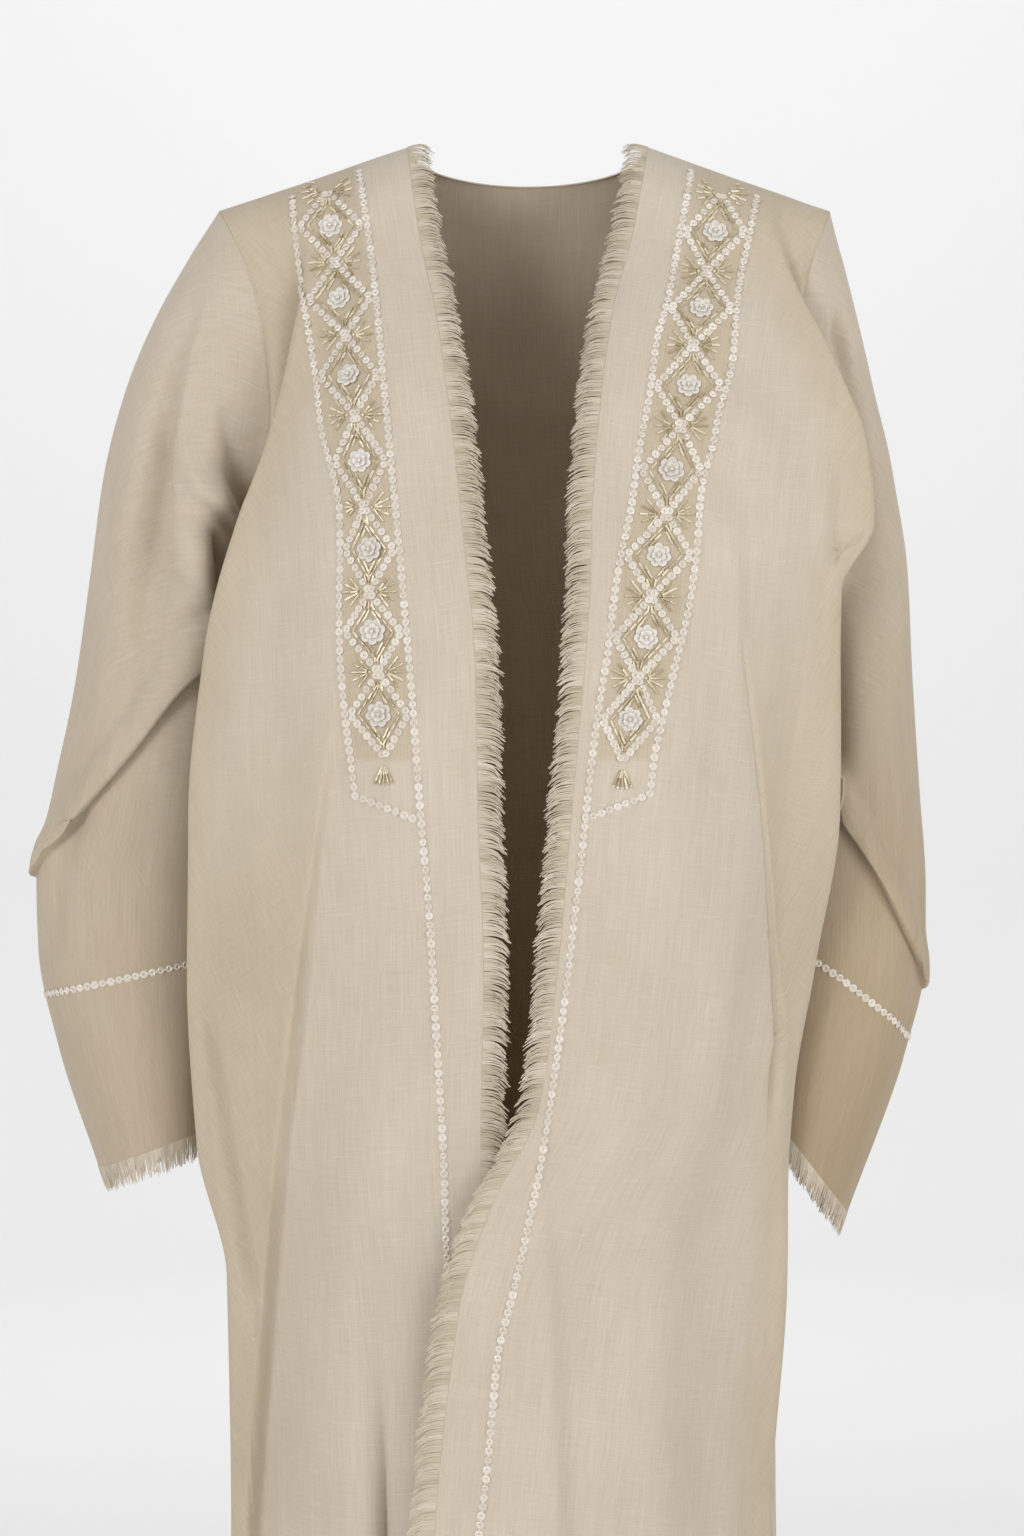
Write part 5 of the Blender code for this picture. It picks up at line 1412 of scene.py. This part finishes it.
def sleeve_chain(side, grid, stations, turns, material):
    """The chain of sequins round a sleeve, above its cuff."""
    station, slant = CHAIN_STATION[side]
    own = station + slant * np.cos(turns)
    ring, normal = (np.array([read_curve(stations[:, k], table[:, k], own[k:k + 1])[0]
                              for k in range(grid.shape[1])])
                    for table in (grid, surface_normals(grid, True, -side)))
    ring, normal = (np.concatenate([v, v[:1]]) for v in (ring, normal))
    along = lengths(ring)
    count = int(round(along[-1] / SLEEVE_PITCH))
    at = np.arange(count) * along[-1] / count
    heading = unit(read_curve(along, np.gradient(ring, axis=0), at))
    out = unit(read_curve(along, normal, at))
    points = read_curve(along, ring, at) + out * (LINEN / 2 + LATTICE_LIFT)
    frames = list(zip(points, heading, out))
    groups = strung(frames, between(frames), np.random.default_rng(CHAIN_SEED + side))
    return joined("sleeve_chain", side, groups, material)


# -------- stage
FLOOR, FLOOR_FORE, FLOOR_HALF = -1.44, -5.0, 6.0  # its level, its front edge and half its width
WALL_AFT, WALL_TALL = 7.2, 5.0  # the wall, far behind the cloak, and its height
COVE = 0.8  # radius of the curve between them
AIR = 0.50  # strength of the light from all round
LENS, FILM, CAMERA_AT = 97.6, 36.0, (-0.0096, -2.575, -0.383)
# Each lamp's place, what it aims at, its width and height, and its watts.
LAMPS = (
    ("key_softbox", (-2.2, -2.9, 0.6), (0, 0, -0.7), 1.5, 1.5, 52.0),
    ("fill_softbox", (2.0, -3.0, -0.1), (0, 0, -0.7), 1.6, 1.6, 20.0),
    ("side_softbox", (1.6, -1.2, 0.1), (0.2, 0, -0.3), 0.9, 0.9, 9.0),
    ("wall_wash", (0, WALL_AFT - 3.2, 2.9), (0, WALL_AFT - 0.8, -1.4), 6.0, 1.8, 96.0),
)


def floor_and_wall(material):
    """A pale floor that curves up into a wall, well behind and below the cloak."""
    cove = np.linspace(0.1, math.pi / 2, 12)
    profile = [(FLOOR_FORE, 0.0), (WALL_AFT - COVE, 0.0)]
    profile += [(WALL_AFT - COVE + math.sin(a) * COVE, COVE - math.cos(a) * COVE) for a in cove]
    profile += [(WALL_AFT, WALL_TALL)]
    points = np.array([(x, y, FLOOR + z) for y, z in profile for x in (-FLOOR_HALF, FLOOR_HALF)])
    faces = [(2 * k, 2 * k + 1, 2 * k + 3, 2 * k + 2) for k in range(len(profile) - 1)]
    stage = made_piece("studio_floor", points, faces, {}, material)
    stage.data.shade_smooth()


def studio_paper():
    """Seamless studio paper: matt and almost white, faintly cloudy."""
    material, tree = blank("studio_paper")
    place_of = node(tree, "ShaderNodeTexCoord").outputs["Object"]
    cloud = node(tree, "ShaderNodeTexNoise", {"Vector": place_of, "Scale": 0.8, "Detail": 2.0}).outputs[0]
    return surfaced(material, node(tree, "ShaderNodeBsdfPrincipled", {
        "Base Color": two_tone(tree, cloud, "#f2f2f2", "#f5f5f5"),
        "Roughness": 0.95, "Specular IOR Level": 0.1}))


def lamp(name, at, aim, wide, tall, watts):
    light = bpy.data.lights.new(name, "AREA")
    light.shape, light.size, light.size_y, light.energy = "RECTANGLE", wide, tall, watts
    held = bpy.data.objects.new(name, light)
    held.location = at
    held.rotation_euler = (Vector(aim) - Vector(at)).to_track_quat("-Z", "Y").to_euler()
    bpy.context.scene.collection.objects.link(held)


def studio():
    """The soft light from all round, the lamps and the camera."""
    world = bpy.data.worlds.new("studio_air")
    world.use_nodes = True
    sky = world.node_tree.nodes["Background"]
    sky.inputs["Color"].default_value = (1.0, 1.0, 1.0, 1.0)
    sky.inputs["Strength"].default_value = AIR
    bpy.context.scene.world = world
    for row in LAMPS:
        lamp(*row)
    bpy.context.scene.view_settings.view_transform = "Standard"
    camera = bpy.data.cameras.new("camera")
    camera.lens, camera.sensor_width = LENS, FILM
    held = bpy.data.objects.new("camera", camera)
    held.location, held.rotation_euler = CAMERA_AT, (math.pi / 2, 0, 0)
    bpy.context.scene.collection.objects.link(held)
    bpy.context.scene.camera = held


def ready(piece, slot, *nodes):
    """Lets the piece ride on the part's one body, in place of its nodes."""
    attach(piece, "root")
    if nodes:
        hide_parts(*nodes)


def main():
    studio()
    floor_and_wall(studio_paper())
    # Each linen's last colour is the painted shade multiplied in where the value free rises
    body = slub_linen("sand_slub_linen", "#b8aa97", "#c9bdac", "#d7cdbf", "#f5f1e8")
    # The sleeves' linen is a darker copy of the body's, with a deeper last colour: painted shade for sleeves
    # that the light reaches less
    arm = slub_linen("sand_slub_linen_sleeve_painted_shade", "#b5a792", "#c6b9a7", "#d5cabb", "#ddd2be")
    # The loose yarn is drawn paler than the cloth: painted light for thin threads in each other's shade
    loose = frayed_linen("loose_linen_yarn", "#cfc2ab", "#dfd3be", "#ede3d2")
    pearl = beadwork("pearl_sequin", "#d2c8ba", "#e5ddd2", 0.32, 0.35)
    white = beadwork("milky_cup_sequin", "#dcd3c7", "#e9e2d8", 0.50, 0.10, 0.0, 0.5)
    gold = beadwork("champagne_glass_bugle", "#ab9872", "#efe5ca", 0.20, 0.6, 0.10)
    fronts = {side: front_sheet(side) for side in (RIGHT, LEFT)}
    back_piece = make_back(back_sheet(fronts), body)
    ready(back_piece, "sand_linen", "back")
    for side, word in WORDS.items():
        grid, panel = make_front(side, fronts[side], body)
        ready(panel, "sand_linen", "front_" + word)
        normals = surface_normals(grid, False, side)[:, 0]
        away = grid[:, 0] - grid[:, 1]
        edge = frayed_edge("front_threads_" + word, grid[:, 0], away, normals, False, FRONT_FRAY,
                           FRONT_FRAY_SEED + side, loose)
        ready(edge, "frayed_linen", "front_fringe_" + word)
        beads = embroider(side, panel, pearl, white, gold)
        for piece in beads:
            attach(piece, "root")
        sheet = sleeve_sheet(side)
        grid, sleeve = make_sleeve(side, sheet, arm)
        ready(sleeve, "sand_linen", "sleeve_" + word)
        away = grid[-1] - grid[-2]
        normals = surface_normals(grid, True, -side)[-1]
        cuff = frayed_edge("cuff_threads_" + word, grid[-1], away, normals, True, CUFF_FRAY,
                           CUFF_FRAY_SEED + side, loose)
        ready(cuff, "frayed_linen", "cuff_fringe_" + word)
        ring = sleeve_chain(side, grid, sheet[1], sheet[2], pearl)
        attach(ring, "root")


main()
